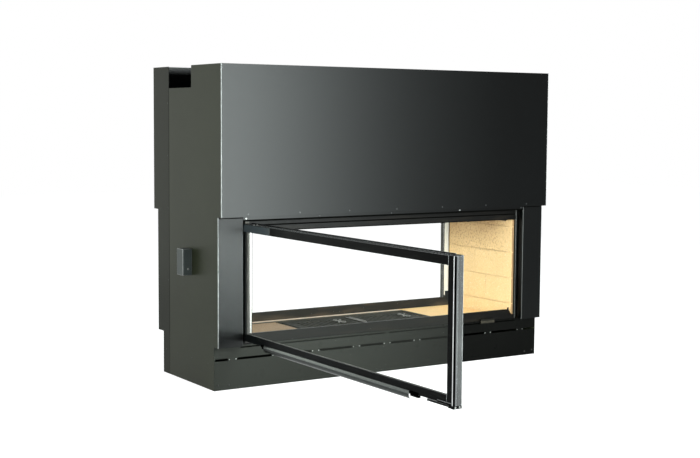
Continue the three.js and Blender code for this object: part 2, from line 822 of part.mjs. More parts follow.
function doorGlass(parent, tag) {
  const inner = -halfThick + profileWall + seat;
  const x = [railSpan[0] - glassLap, railSpan[1] + glassLap];
  const z = [doorRail - glassLap, doorHeight - doorRail + glassLap];
  put(parent, `${tag}_door_glass`, block(x, [inner, inner + glassThickness], z), clearGlass());
}

// Pull profile: a rolled lip hung under the bottom rail
function doorHandle(parent, tag) {
  const sweep = THREE.MathUtils.degToRad(360 - handleOpenDeg);
  const start = THREE.MathUtils.degToRad(handleOpenDeg / 2) - Math.PI / 4;
  const arc = (radius) =>
    Array.from({ length: handleSteps + 1 }, (_, i) => {
      const turn = start + (sweep * i) / handleSteps;
      const y = radius * Math.cos(turn) - handleForward;
      return point(y, radius * Math.sin(turn) - handleRadius - seat);
    });
  const outline = [...arc(handleRadius), ...arc(handleRadius - handleWall).reverse()];
  put(parent, `${tag}_door_handle`, along(outline, handleStart, handleEnd), brushed());
}

function glazedFrame(parent, tag) {
  doorRails(parent, tag);
  doorGlass(parent, tag);
  doorHandle(parent, tag);
}

// Front door, standing open at a right angle on its hinge bar
const frontDoor = new THREE.Group();
frontDoor.name = 'front_door';
frontDoor.position.set(-hingeX, -frontJambPlane + doorSetback + halfThick, frontDoorBottom);
frontDoor.rotation.z = -THREE.MathUtils.degToRad(frontDoorOpenDeg);
group.add(frontDoor);
glazedFrame(frontDoor, 'front');

function hingedStile(parent) {
  const blockX = [-doorHingeEdge, hingeBlockWidth - doorHingeEdge];
  const blockY = [-halfThick + joint, halfThick - joint];
  const ends = [
    [0, hingeBlock],
    [doorHeight - hingeBlock, doorHeight],
  ];
  const blocks = ends.map((z) => block(blockX, blockY, z));
  const holes = ends.map(([low, high]) => post(hingePinHole, 0, 0, low - joint, high + joint));
  put(parent, 'front_door_stile_hinge', combine([hingeStileBody(), ...blocks], holes), doorPaint());
}

function latchSide(parent) {
  const edge = doorLatchEdge - endPost;
  put(parent, 'front_door_stile_latch', latchStileBody(edge - seat, latchStile - endPost - seat), doorPaint());
  const body = block([edge, doorLatchEdge], [-halfThick, halfThick], [-postDrop, doorHeight]);
  const beadX = [doorLatchEdge - postBeadWidth, doorLatchEdge];
  const bead = block(beadX, [-halfThick - postBead, -halfThick + joint], [-postDrop, doorHeight]);
  put(parent, 'front_door_end_post', combine([body, bead]), brushed());
}

// Latch lever under the latch stile, turning on an upright pin
function latchLever(parent) {
  const z = [-latchDrop - latchThickness, -latchDrop];
  const bar = block([-latchLength, latchTail - latchWidth / 2], around(0, latchWidth), z);
  const tail = post(latchWidth / 2, latchTail - latchWidth / 2, 0, ...z);
  const boss = post(latchBoss, 0, 0, z[0], -seat);
  const grip = post(latchTipRadius, -latchLength, 0, ...z);
  const mesh = put(parent, 'front_latch_lever', combine([bar, tail, boss, grip]), doorPaint());
  mesh.position.set(latchPivotX, 0, 0);
}

hingedStile(frontDoor);
latchSide(frontDoor);
latchLever(frontDoor);

// Rear door, closed; its stiles carry shoes that run in the guide rails
const rearDoor = new THREE.Group();
rearDoor.name = 'rear_door';
rearDoor.position.set(hingeX, rearJambPlane - doorSetback - halfThick, rearDoorBottom);
rearDoor.rotation.z = Math.PI;
group.add(rearDoor);
glazedFrame(rearDoor, 'rear');

function shoes(edge, outward) {
  const tip = edge + outward * shoeReach;
  const plateX = ordered(tip, edge - outward * shoeInset);
  const blockX = ordered(tip, tip - outward * shoeBlockWidth);
  const plateY = [halfThick - profileWall, halfThick + shoePlate];
  const blockY = [halfThick, halfThick + shoePlate + shoeBlockDepth];
  return [shoeLow, shoeHigh].flatMap((low) => {
    const z = [low, low + shoeHeight];
    return [block(plateX, plateY, z), block(blockX, blockY, z)];
  });
}

const rightStile = combine([hingeStileBody(), ...shoes(-doorHingeEdge, -1)]);
const leftStile = combine([latchStileBody(doorLatchEdge, latchStile), ...shoes(doorLatchEdge, 1)]);
put(rearDoor, 'rear_door_stile_right', rightStile, doorPaint());
put(rearDoor, 'rear_door_stile_left', leftStile, doorPaint());

export default group;
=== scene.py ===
# A see-through fireplace insert: a folded steel casing with a hood over each long side, a firebrick
# chamber with an iron hearth plate, a front door that swings open and a rear door that lifts.
# Metres, X along the width, the front looks along -Y, Z up.
import math

import bmesh
import bpy
from mathutils import Matrix, Vector


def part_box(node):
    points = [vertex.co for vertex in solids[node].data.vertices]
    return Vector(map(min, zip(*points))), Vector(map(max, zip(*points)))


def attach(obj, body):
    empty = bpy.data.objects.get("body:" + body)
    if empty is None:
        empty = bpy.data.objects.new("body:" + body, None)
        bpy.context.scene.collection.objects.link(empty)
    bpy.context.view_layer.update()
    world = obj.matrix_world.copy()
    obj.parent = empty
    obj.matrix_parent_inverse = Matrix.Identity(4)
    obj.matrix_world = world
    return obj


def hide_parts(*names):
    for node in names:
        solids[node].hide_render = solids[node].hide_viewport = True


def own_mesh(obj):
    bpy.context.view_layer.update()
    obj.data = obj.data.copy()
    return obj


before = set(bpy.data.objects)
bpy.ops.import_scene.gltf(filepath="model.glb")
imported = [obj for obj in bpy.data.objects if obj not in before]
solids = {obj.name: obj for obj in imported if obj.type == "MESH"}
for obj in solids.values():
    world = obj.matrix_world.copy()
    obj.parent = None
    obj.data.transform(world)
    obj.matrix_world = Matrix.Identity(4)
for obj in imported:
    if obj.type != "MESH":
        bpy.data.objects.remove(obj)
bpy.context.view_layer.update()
scene = bpy.context.scene

# View: a camera at eye height to the left of the front, as in the photograph, white surroundings, a pale
# floor that keeps a soft shadow, and soft boxes: strips in front and behind draw the hoods' long gradients,
# windows light the ends, and one hangs above. The strong boxes behind don't show through the glass.
CAMERA_PLACE = (-3.4354, -5.3174, 1.190)
CAMERA_YAW, CAMERA_PITCH, CAMERA_ROLL = (math.radians(a) for a in (32.6, 4.81, -0.4))
CAMERA_LENS, CAMERA_SENSOR, CAMERA_SHIFT, CAMERA_REACH = 67.07, 36.0, -0.00106, 100
camera = bpy.data.objects.new("camera", bpy.data.cameras.new("camera"))
camera.data.lens, camera.data.sensor_width = CAMERA_LENS, CAMERA_SENSOR
camera.data.shift_y, camera.data.clip_end = CAMERA_SHIFT, CAMERA_REACH
camera.matrix_world = (Matrix.Translation(CAMERA_PLACE) @ Matrix.Rotation(-CAMERA_YAW, 4, "Z")
                       @ Matrix.Rotation(math.pi / 2 - CAMERA_PITCH, 4, "X") @ Matrix.Rotation(-CAMERA_ROLL, 4, "Z"))
scene.collection.objects.link(camera)
scene.camera = camera
scene.view_settings.view_transform = "Standard"


def link(tree, *pairs):
    for start, end in pairs:
        tree.links.new(start, end)


def seen_directly(tree):
    """1 for rays that show the surroundings: from the camera, in a reflection or through glass."""
    rays = tree.nodes.new("ShaderNodeLightPath").outputs
    found = rays["Is Camera Ray"]
    for name in ("Is Glossy Ray", "Is Transmission Ray"):
        larger = tree.nodes.new("ShaderNodeMath")
        larger.operation = "MAXIMUM"
        link(tree, (found, larger.inputs[0]), (rays[name], larger.inputs[1]))
        found = larger.outputs[0]
    return found


def coloured(tree, kind, colour):
    made = tree.nodes.new(kind)
    made.inputs["Color"].default_value = (*colour, 1)
    return made.outputs[0]


AMBIENT, WHITE = (0.30, 0.31, 0.325), (1, 1, 1)
world = bpy.data.worlds.new("white_surroundings")
world.use_nodes = True
sky = world.node_tree
sky.nodes.clear()
either = sky.nodes.new("ShaderNodeMixShader")
link(sky, (seen_directly(sky), either.inputs["Fac"]),
     (coloured(sky, "ShaderNodeBackground", AMBIENT), either.inputs[1]),
     (coloured(sky, "ShaderNodeBackground", WHITE), either.inputs[2]),
     (either.outputs[0], sky.nodes.new("ShaderNodeOutputWorld").inputs["Surface"]))
scene.world = world

COOL_WHITE, SAGE_WHITE = (0.91, 1.0, 0.985), (0.93, 1.0, 0.88)


def lamp(name, place, aim, width, height, power, far_side=1.0, hold=1.7, tint=COOL_WHITE):
    """A soft box; its light changes across its width to the far_side share, later with a larger hold."""
    made = bpy.data.objects.new(name, bpy.data.lights.new(name, "AREA"))
    made.data.shape = "RECTANGLE"
    made.data.size, made.data.size_y, made.data.energy = width, height, power
    made.data.color = tint
    made.location = place
    made.rotation_mode = "QUATERNION"
    made.rotation_quaternion = (Vector(aim) - Vector(place)).to_track_quat("-Z", "Y")
    made.visible_camera = False
    scene.collection.objects.link(made)
    if far_side != 1:
        made.data.use_nodes = True
        tree = made.data.node_tree
        across = tree.nodes.new("ShaderNodeSeparateXYZ")
        share, fade = tree.nodes.new("ShaderNodeMath"), tree.nodes.new("ShaderNodeMath")
        share.operation = fade.operation = "POWER"
        share.inputs[1].default_value, fade.inputs[0].default_value = hold, far_side
        link(tree, (tree.nodes.new("ShaderNodeNewGeometry").outputs["Parametric"], across.inputs[0]),
             (across.outputs["X"], share.inputs[0]), (share.outputs[0], fade.inputs[1]),
             (fade.outputs[0], tree.nodes["Emission"].inputs["Strength"]))
    return made


lamp("front_strip", (0.98, -2.4, 0.9), (0.98, 0, 0.9), 2.34, 1.75, 490, 0.0134)
lamp("left_window", (-6.8, -3.3, 1.5), (0.3, 0, 0.5), 2.6, 1.9, 268)
lamp("overhead", (0.2, -0.4, 4.2), (0, 0, 0.5), 3.2, 2.4, 50)
lamp("rear_window", (-1.9, 2.6, 1.0), (-1.9, 0, 1.0), 2.6, 1.75, 7, 3.0, 1.0, SAGE_WHITE)
rear_strip = lamp("rear_strip", (1.3, 3.0, 0.9), (1.3, 0, 0.9), 4.4, 1.9, 480, 0.05, 1.5)
right_window = lamp("right_window", (6.2, 2.6, 1.5), (0.9, 0, 0.6), 2.6, 1.9, 150)
rear_strip.visible_transmission = right_window.visible_transmission = rear_strip.visible_diffuse = False

FLOOR_HALF, FLOOR_LEVEL = 14, -0.0005
floor_mesh = bpy.data.meshes.new("studio_floor")
floor_corners = [(x * FLOOR_HALF, y * FLOOR_HALF, FLOOR_LEVEL) for x, y in ((-1, -1), (1, -1), (1, 1), (-1, 1))]
floor_mesh.from_pydata(floor_corners, [], [(0, 1, 2, 3)])
studio_floor = bpy.data.objects.new("studio_floor", floor_mesh)
scene.collection.objects.link(studio_floor)
MATT_GREY, SHADOW_SHARE, FLOOR_GLOW = 0.7, 0.3, 0.915
pale = bpy.data.materials.new("pale_floor")
pale.use_nodes = True
ground = pale.node_tree
ground.nodes.clear()
lit, shown = ground.nodes.new("ShaderNodeAddShader"), ground.nodes.new("ShaderNodeMixShader")
link(ground, (coloured(ground, "ShaderNodeBsdfDiffuse", [SHADOW_SHARE] * 3), lit.inputs[0]),
     (coloured(ground, "ShaderNodeEmission", [FLOOR_GLOW] * 3), lit.inputs[1]),
     (seen_directly(ground), shown.inputs["Fac"]),
     (coloured(ground, "ShaderNodeBsdfDiffuse", [MATT_GREY] * 3), shown.inputs[1]),
     (lit.outputs[0], shown.inputs[2]),
     (shown.outputs[0], ground.nodes.new("ShaderNodeOutputMaterial").inputs["Surface"]))
floor_mesh.materials.append(pale)

# Base: two long panels of 2 mm sheet on a floor plate, each with a row of air slots between short tabs.
# Matt black paint, lighter towards the left end as a painted highlight; the tabs are riveted and the ends
# screwed to the frame.


class Finish:
    """A procedural finish on object coordinates, with one Principled shader."""

    def __init__(self, name):
        self.material = bpy.data.materials.new(name)
        self.material.use_nodes = True
        self.tree = self.material.node_tree
        self.tree.nodes.clear()
        self.shader = self.node("BsdfPrincipled")
        self.out = self.node("OutputMaterial", {"Surface": self.shader.outputs[0]})
        self.place = self.node("TexCoord").outputs["Object"]

    def node(self, kind, values=None, **settings):
        made = self.tree.nodes.new("ShaderNode" + kind)
        for key, value in settings.items():
            setattr(made, key, value)
        for key, value in (values or {}).items():
            self.feed(made.inputs[key], value)
        return made

    def feed(self, socket, value):
        if isinstance(value, bpy.types.NodeSocket):
            self.tree.links.new(value, socket)
        else:
            socket.default_value = (*value, 1) if socket.type == "RGBA" else value

    def set(self, **values):
        for key, value in values.items():
            self.feed(self.shader.inputs[key.replace("_", " ")], value)
        return self

    def math(self, kind, *values):
        return self.node("Math", dict(enumerate(values)), operation=kind).outputs[0]

    def grain(self, per_metre, detail=3, stretch=(1, 1, 1)):
        place = self.node("Mapping", {"Vector": self.place, "Scale": stretch}).outputs[0]
        return self.node("TexNoise", {"Vector": place, "Scale": per_metre, "Detail": detail}).outputs[0]

    def ranged(self, value, low, high, start=0.3, end=0.7):
        spread = {"Value": value, "From Min": start, "From Max": end, "To Min": low, "To Max": high}
        return self.node("MapRange", spread).outputs[0]

    def on_axis(self, axis):
        return self.node("SeparateXYZ", {"Vector": self.place}).outputs[axis]

    def along(self, axis, start, end, low=0, high=1):
        """A value that goes from low to high between two places on an axis."""
        return self.ranged(self.on_axis(axis), low, high, start, end)

    def mixed(self, share, one, other):
        return self.node("Mix", {0: share, 6: one, 7: other}, data_type="RGBA").outputs[2]

    def clouded(self, one, other, *grain):
        return self.mixed(self.ranged(self.grain(*grain), 0, 1), one, other)

    def flecked(self, tone, colour, share, start, end, *grain):
        """A tone with flecks of a colour where the grain is over start, at their full share from end on."""
        return self.mixed(self.ranged(self.grain(*grain), 0, share, start, end), tone, colour)

    def bumped(self, value, depth, strength=1.0):
        made = self.node("Bump", {"Height": value, "Distance": depth, "Strength": strength})
        return self.set(Normal=made.outputs[0])


def shade(colour, factor):
    return tuple(min(1, c * factor) for c in colour)


LIT_LEFT_END_REACH = (-0.75, 0.46)


def painted(name, colour, roughness, gloss, lit_left_end=None):
    """Stoved paint: cloudy tone, fine orange peel, dust grains and, if given, a lighter left end as a painted
    highlight.
    """
    paint = Finish(name)
    tone = paint.clouded(shade(colour, 0.86), shade(colour, 1.16), 2.2, 4)
    # Towards the left end the tone turns to the lighter colour: a painted highlight.
    if lit_left_end:
        tone = paint.mixed(paint.along("X", *LIT_LEFT_END_REACH, 1, 0), tone, lit_left_end)
    paint.set(Base_Color=paint.flecked(tone, shade(colour, 2.2), 0.5, 0.69, 0.74, 650, 1),
              Specular_IOR_Level=gloss, Roughness=paint.ranged(paint.grain(26), roughness - 0.008, roughness + 0.008))
    return paint.bumped(paint.grain(1100, 2), 0.00003).material


def metal(name, dark, light, patches, metallic, roughness, rough_grain, bump_grain, bump, **more):
    """Bare or thinly coated metal whose tone wanders between two colours."""
    made = Finish(name)
    made.set(Base_Color=made.clouded(dark, light, *patches), Metallic=metallic,
             Roughness=made.ranged(made.grain(rough_grain), *roughness), **more)
    return made.bumped(made.grain(bump_grain), bump).material


MERGED_WITHIN, FLAT_WITHIN = 0.00001, math.radians(0.6)


def solid_copy(node):
    """A node's solid as one merged mesh with its flat faces whole."""
    body = bmesh.new()
    body.from_mesh(solids[node].data)
    bmesh.ops.remove_doubles(body, verts=body.verts, dist=MERGED_WITHIN)
    bmesh.ops.dissolve_limit(body, angle_limit=FLAT_WITHIN, verts=body.verts, edges=body.edges)
    body.normal_update()
    return body


def placed(name, body, finishes, rides_on, stands_for=(), edge=0.0, smooth=35, rubbed=False):
    """Makes a finished piece from a bmesh: eased edges, which a rubbed piece shows in its last finish:
    wear on the guide rails, a painted highlight on folds and door edges.
    """
    mesh = bpy.data.meshes.new(name)
    body.to_mesh(mesh)
    body.free()
    for finish in finishes if isinstance(finishes, (list, tuple)) else [finishes]:
        mesh.materials.append(finish)
    mesh.shade_smooth()
    mesh.set_sharp_from_angle(angle=math.radians(smooth))
    made = bpy.data.objects.new(name, mesh)
    scene.collection.objects.link(made)
    if edge:
        ease = made.modifiers.new("eased_edges", "BEVEL")
        ease.width, ease.segments, ease.limit_method = edge, 2, "ANGLE"
        ease.angle_limit, ease.use_clamp_overlap = math.radians(smooth), False
        if rubbed:
            ease.material = len(mesh.materials) - 1
    flat = made.modifiers.new("flat_faces", "WEIGHTED_NORMAL")
    flat.weight, flat.keep_sharp = 100, True
    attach(made, rides_on)
    if stands_for:
        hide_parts(*stands_for)
    return made


def eased(node, finish, edge=0.0005, rides_on="case", rubbed=None, marked=None, mark=None):
    """The node's own shape with eased edges, which take a finish of their own if rubbed is given (wear on the
    guide rails, a painted highlight elsewhere), and marked faces in another.
    """
    body = solid_copy(node)
    finishes = [finish] + ([mark] if mark else []) + ([rubbed] if rubbed else [])
    for face in body.faces:
        if mark and marked(face.calc_center_median(), face.normal):
            face.material_index = 1
    return placed(node + "_finished", body, finishes, rides_on, (node,), edge, rubbed=bool(rubbed))


# The last colour is the lighter left end of the base, a painted highlight.
base_paint = painted("matt_base_paint", (0.0012, 0.0013, 0.0011), 0.28, 0.030, (0.0200, 0.0210, 0.0180))
eased("base_plate", base_paint, 0.0006)
for panel in ("base_front", "base_rear"):
    eased(panel, base_paint, 0.0009)


def long_side(side):
    """Turns (x, outward depth, z) seen from one long side into the row frame."""
    return (lambda x, out, z: (x, -out, z)) if side == "front" else (lambda x, out, z: (-x, out, z))


def new_tree(name, body, numbers, result, vectors=()):
    """An empty Geometry Nodes tree; gives it back with the sockets of its inputs."""
    tree = bpy.data.node_groups.new(name, "GeometryNodeTree")
    add = tree.interface.new_socket
    add(body, in_out="INPUT", socket_type="NodeSocketGeometry")
    for label, start in numbers.items():
        kind = "NodeSocketInt" if isinstance(start, int) else "NodeSocketFloat"
        add(label, in_out="INPUT", socket_type=kind).default_value = start
    for label in vectors:
        add(label, in_out="INPUT", socket_type="NodeSocketVector")
    add("Finish", in_out="INPUT", socket_type="NodeSocketMaterial")
    add(result, in_out="OUTPUT", socket_type="NodeSocketGeometry")
    return tree, tree.nodes.new("NodeGroupInput").outputs


def field(tree, kind, values=None, **settings):
    """A geometry node's first output, with its settings; sockets are linked and the rest is set."""
    made = tree.nodes.new(kind)
    for key, value in settings.items():
        setattr(made, key, value)
    for key, value in (values or {}).items():
        for one in value if isinstance(value, list) else [value]:
            if isinstance(one, bpy.types.NodeSocket):
                tree.links.new(one, made.inputs[key])
            else:
                made.inputs[key].default_value = one
    return made.outputs[0]


def dressed(tree, shape, finish):
    """Ends a tree: its shape with the finish on it."""
    ready = field(tree, "GeometryNodeSetMaterial", {"Geometry": shape, "Material": finish})
    tree.links.new(ready, tree.nodes.new("NodeGroupOutput").inputs[0])
    return tree


RECESS_WIDTH, RECESS_REACH, HEAD_TOP = 0.26, 1.05, 0.72


def screw_tree():
    """Geometry Nodes: a pan-head screw with a crossed recess at each point, facing the point's way."""
    tree, given = new_tree("pan_head_screws", "Points", {
        "Head radius": 0.004, "Head height": 0.0022, "Recess width": 0.001, "Turn seed": 7}, "Screws")

    def scaled(share):
        return field(tree, "ShaderNodeMath", {0: given["Head radius"], 1: share}, operation="MULTIPLY")

    head = field(tree, "GeometryNodeMeshCone", {
        "Vertices": 20, "Side Segments": 1, "Fill Segments": 1, "Radius Top": scaled(HEAD_TOP),
        "Radius Bottom": given["Head radius"], "Depth": given["Head height"]}, fill_type="NGON")
    arm, width, cuts = scaled(RECESS_REACH), given["Recess width"], []
    for x, y in ((arm, width), (width, arm)):
        size = field(tree, "ShaderNodeCombineXYZ", {"X": x, "Y": y, "Z": given["Head height"]})
        lift = field(tree, "ShaderNodeCombineXYZ", {"X": 0.0, "Y": 0.0, "Z": given["Head height"]})
        cut = field(tree, "GeometryNodeMeshCube", {"Size": size})
        cuts.append(field(tree, "GeometryNodeTransform", {"Geometry": cut, "Translation": lift}))
    crossed = field(tree, "GeometryNodeMeshBoolean", {"Mesh 1": head, "Mesh 2": cuts}, operation="DIFFERENCE",
                    solver="EXACT")
    facing = field(tree, "GeometryNodeInputNamedAttribute", {"Name": "facing"}, data_type="FLOAT_VECTOR")
    turned = field(tree, "FunctionNodeAlignRotationToVector", {"Vector": facing}, axis="Z")
    draw = tree.nodes.new("FunctionNodeRandomValue")
    draw.data_type = "FLOAT"
    draw.inputs[2].default_value, draw.inputs[3].default_value = 0.0, math.pi
    tree.links.new(given["Turn seed"], draw.inputs["Seed"])
    spin = field(tree, "FunctionNodeAxisAngleToRotation", {"Axis": (0, 0, 1), "Angle": draw.outputs[1]})
    both = field(tree, "FunctionNodeRotateRotation", {"Rotation": turned, "Rotate By": spin},
                 rotation_space="LOCAL")
    copies = field(tree, "GeometryNodeInstanceOnPoints", {
        "Points": given["Points"], "Instance": crossed, "Rotation": both})
    return dressed(tree, field(tree, "GeometryNodeRealizeInstances", {"Geometry": copies}), given["Finish"])


SCREWS = screw_tree()


def grown(name, body, tree, inputs, rides_on, stands_for=(), edge=0.0, smooth=35):
    """Runs a geometry tree on a bmesh and keeps the result as a plain piece."""
    seeds = bpy.data.meshes.new(name + "_seed")
    body.to_mesh(seeds)
    body.free()
    holder = bpy.data.objects.new(name + "_seed", seeds)
    scene.collection.objects.link(holder)
    nodes = holder.modifiers.new("nodes", "NODES")
    nodes.node_group = tree
    sockets = {s.name: s.identifier for s in tree.interface.items_tree if s.in_out == "INPUT"}
    for key, value in inputs.items():
        nodes[sockets[key]] = value
    ready = holder.evaluated_get(bpy.context.evaluated_depsgraph_get())
    mesh = bpy.data.meshes.new_from_object(ready)
    bpy.data.objects.remove(holder)
    mesh.name = name
    plain = bmesh.new()
    plain.from_mesh(mesh)
    kept = [m for m in mesh.materials if m]
    return placed(name, plain, kept or [inputs["Finish"]], rides_on, stands_for, edge, smooth)


def screws(name, spots, finish, rides_on, radius, height):
    """Screw heads at (place, facing) spots, seated on the sheet."""
    body = bmesh.new()
    facing = body.verts.layers.float_vector.new("facing")
    for place, way in spots:
        body.verts.new(place)[facing] = way
    return grown(name, body, SCREWS, {
        "Head radius": radius, "Head height": height, "Recess width": radius * RECESS_WIDTH, "Turn seed": 7,
        "Finish": finish}, rides_on, smooth=50)


screw_zinc = metal("zinc_plated_steel", (0.22, 0.23, 0.22), (0.38, 0.39, 0.37), (420,), 0.9, (0.28, 0.44), 900,
                   1500, 0.00002)
screw_black = painted("blackened_screws", (0.006, 0.006, 0.005), 0.38, 0.3)
BASE_PANEL = {"front": 0.278, "rear": 0.246}
TAB_PLACES = (-0.819, -0.6006, -0.394, -0.1729, 0, 0.1729, 0.3913, 0.6052, 0.8099)
TAB_RIVET_INSET, SLOT_MIDDLE = 0.0165, 0.134
BASE_SCREW_PLACES = ((-0.891, 0.024), (-0.838, 0.023), (0.844, 0.018), (0.892, 0.022))
for side, depth in BASE_PANEL.items():
    to_row = long_side(side)
    out = to_row(0, 1, 0)
    rivets = [(to_row(x + s * TAB_RIVET_INSET, depth, SLOT_MIDDLE), out) for x in TAB_PLACES for s in (-1, 1)]
    screws(f"base_{side}_tab_rivets", rivets, screw_zinc, "case", 0.0024, 0.0012)
    ends = [(to_row(x, depth, z), out) for x, z in BASE_SCREW_PLACES]
    screws(f"base_{side}_screws", ends, screw_black, "case", 0.0045, 0.0016)

# End walls: a stepped front sheet and a rear sheet that meet at an upright seam on each end of the casing.
# 2 mm sheet in dark olive grey; black cord in the seam paints its shadow line, small black screws hold it and the
# foot. The rear sheet's front edge above the notch is in bare steel, a painted highlight line.
olive_paint = painted("olive_grey_paint", (0.0200, 0.0225, 0.0130), 0.38, 0.072)
rear_wall_paint = painted("olive_grey_rear_paint", (0.0110, 0.0122, 0.0076), 0.38, 0.050)
bare_steel_and_highlight = metal("bare_metal_edge_and_highlight", (0.22, 0.21, 0.20), (0.42, 0.41, 0.39), (70, 4), 0.9, (0.3, 0.45), 500, 900,
                   0.00002)


def twisted(name, per_metre, waver, dark, light, roughness, depth, strength, **more):
    """Rope or woven cord: slanting bands of two tones."""
    cord = Finish(name)
    bands = cord.node("TexWave", {"Vector": cord.place, "Scale": per_metre, "Distortion": waver},
                      wave_type="BANDS", bands_direction="DIAGONAL").outputs[0]
    cord.set(Base_Color=cord.mixed(bands, dark, light), Roughness=roughness, **more)
    return cord.bumped(bands, depth, strength).material


def skinned(body, rings, joined_round=False, finish=0):
    """Adds a skin over rings of points, with flat ends or joined round to its start."""
    rings = [[body.verts.new(p) for p in ring] for ring in rings]
    faces = [] if joined_round else [body.faces.new(rings[0]), body.faces.new(rings[-1])]
    for one, two in zip(rings, rings[1:] + (rings[:1] if joined_round else [])):
        for k in range(len(one)):
            m = (k + 1) % len(one)
            faces.append(body.faces.new((one[k], one[m], two[m], two[k])))
    for made in faces:
        made.material_index = finish
    bmesh.ops.recalc_face_normals(body, faces=faces)
    return faces


def run(body, outline, low, high, along="Z", turned=None, finish=0):
    """Adds a closed outline run from low to high along an axis, as a solid bar."""
    order = {"Z": lambda a, b, c: (a, b, c), "X": lambda a, b, c: (c, a, b)}[along]
    place = (lambda p: turned @ Vector(p)) if turned else Vector
    return skinned(body, [[place(order(a, b, c)) for a, b in outline] for c in (low, high)], finish=finish)


def bar(body, x, y, z, turned=None, finish=0):
    """Adds a rectangular bar."""
    return run(body, [(x[0], y[0]), (x[1], y[0]), (x[1], y[1]), (x[0], y[1])], *z, "Z", turned, finish)


def barred(name, bars, finishes, rides_on, edge=0.0, turned=None, rubbed=False):
    """A piece of rectangular bars, each a row of its reach in x, y and z and the number of its finish."""
    body = bmesh.new()
    for x, y, z, finish in bars:
        bar(body, x, y, z, turned, finish)
    return placed(name, body, finishes, rides_on, (), edge, rubbed=rubbed)


# Near-black rope finish without reflection; the strips, bars and faces in it paint the shade of gaps, grooves and
# recesses.
painted_shade_black = twisted("black_rope_finish_for_painted_shade", 260.0, 2.0, (0.0005, 0.0005, 0.0004), (0.0018, 0.0018, 0.0016), 0.95,
                     0.0003, 0.6, Specular_IOR_Level=0.0)
CASE_END, WALL_INSET, NOTCH_FLOOR = 0.910, 0.0006, 1.322
SEAM_PLACES, SEAM_FOOT, SEAM_BACK, SEAM_FACE = (0.1772, 0.1796), 0.1905, CASE_END - 0.0015, CASE_END - 0.0004
WALL_SCREW_SEAT = CASE_END - 0.0014
WALL_SCREWS = ((0.190, 1.254), (0.190, 1.016), (0.190, 0.772), (0.190, 0.44), (0.090, 0.113), (-0.057, 0.114),
               (-0.220, 0.113), (0.215, 0.113), (-0.290, 0.251))
for end, sign in (("left", -1), ("right", 1)):
    # The rear sheet's front faces above the notch floor take bare steel: a painted highlight line.
    sheets = (eased(f"side_sheet_{end}_front", olive_paint, 0.0006),
              eased(f"side_sheet_{end}_rear", rear_wall_paint, 0.0012, mark=bare_steel_and_highlight,
                    marked=lambda place, way: way.y < -0.9 and place.z > NOTCH_FLOOR))
    # The outer faces stand back a little, so that the screw heads stay inside the casing's width.
    for vert in [v for sheet in sheets for v in sheet.data.vertices]:
        if abs(vert.co.x) > CASE_END - WALL_INSET / 2:
            vert.co.x -= math.copysign(WALL_INSET, vert.co.x)
    spots = [((sign * WALL_SCREW_SEAT, y, z), (sign, 0, 0)) for y, z in WALL_SCREWS]
    screws(f"side_{end}_screws", spots, screw_black, "case", 0.0042, 0.0014)
    # Black cord in the seam: painted shade along the seam line.
    cord = (sorted((sign * SEAM_BACK, sign * SEAM_FACE)), SEAM_PLACES, (SEAM_FOOT, NOTCH_FLOOR), 0)
    barred(f"side_{end}_seam", [cord], painted_shade_black, "case")

# Hoods and jambs: folded sheet in satin anthracite, screwed along the lower edge. Strips in the black rope
# finish under the hood, on the jambs' tops and on the lintel paint the shade there. Each outer corner is one
# rounded fold, whose lighter metal finish paints a bright highlight line.
anthracite = painted("satin_anthracite_paint", (0.0006, 0.0008, 0.0008), 0.20, 0.088)
jamb_paint = painted("satin_jamb_paint", (0.0006, 0.0008, 0.0008), 0.29, 0.086)
screw_painted = painted("painted_screws", (0.012, 0.013, 0.013), 0.3, 0.3)


# Edge finish: wear on the guide rails; on folds and on box and door edges a lighter metal that paints a highlight.
def edge_wear_and_highlight(name, colour):
    return metal(name, shade(colour, 0.76), shade(colour, 1.24), (60,), 0.75, (0.3, 0.45), 300, 900, 0.00003)


# Lighter metal for the narrow faces of folds: a painted highlight, bright on outer folds and faint on inner ones.
fold_highlight_finish = edge_wear_and_highlight("painted_corner_highlight", (0.21, 0.22, 0.215))
inner_fold_highlight = edge_wear_and_highlight("inner_edge_painted_highlight", (0.026, 0.027, 0.026))
FOLD_RADIUS, FOLD_STEPS, SHEET, SHEET_FIT = 0.003, 6, 0.002, 0.0003


def arc(centre, radius, start, end, steps=FOLD_STEPS):
    """Points on an arc, angles in degrees."""
    turns = [math.radians(start + (end - start) * i / steps) for i in range(steps + 1)]
    return [(centre[0] + radius * math.cos(t), centre[1] + radius * math.sin(t)) for t in turns]


def mark_folds(faces, finish=1, widest=0.0012):
    """Gives the narrow faces of a rounded fold another of the piece's finishes, a painted highlight."""
    for face in faces:
        if len(face.edges) == 4 and min(e.calc_length() for e in face.edges) < widest:
            face.material_index = finish


TURN_OF = {"front": None, "rear": Matrix.Rotation(math.pi, 4, "Z")}
JAMB_PLANE, HOOD_FACE = {"front": 0.316, "rear": 0.304}, {"front": 0.348, "rear": 0.3472}
HOOD_FOOT, HOOD_TOP_FLANGE, HEADER_HALF, OPENING_HALF, JAMB_LIP = 0.762, 0.022, 0.7867, 0.787, 0.026
# Dark strips under the hood, on the jambs' tops and along the lintel's lower edge: painted shade.
SHADE_STRIP_HALF, SHADE_STRIP_BAND, SHADE_STRIP_PROUD, SHADE_STRIP_STEPS = 0.786, (0.7405, 0.7480), 0.0012, 6
LINTEL_SHADE_STRIP, LINTEL_SHADE_BAND = {"front": (-0.2745, -0.2690), "rear": (0.2570, 0.2625)}, (0.6912, 0.6955)
JAMB_SHADE_STRIP, JAMB_SHADE_BAND = (0.7875, 0.9050), (0.7550, 0.7618)
HOOD_SCREWS, HOOD_SCREW_LINE = (-0.780, -0.521, -0.260, 0.0, 0.262, 0.525, 0.780), 0.7745
HEADER_SCREW_LINE, SCREW_SEAT = 0.7535, 0.0010
HEADER_SCREWS = (("bright", screw_zinc, (-0.773, 0.390)), ("painted", screw_painted, (-0.400, -0.010, 0.773)))
bend = FOLD_RADIUS - SHEET
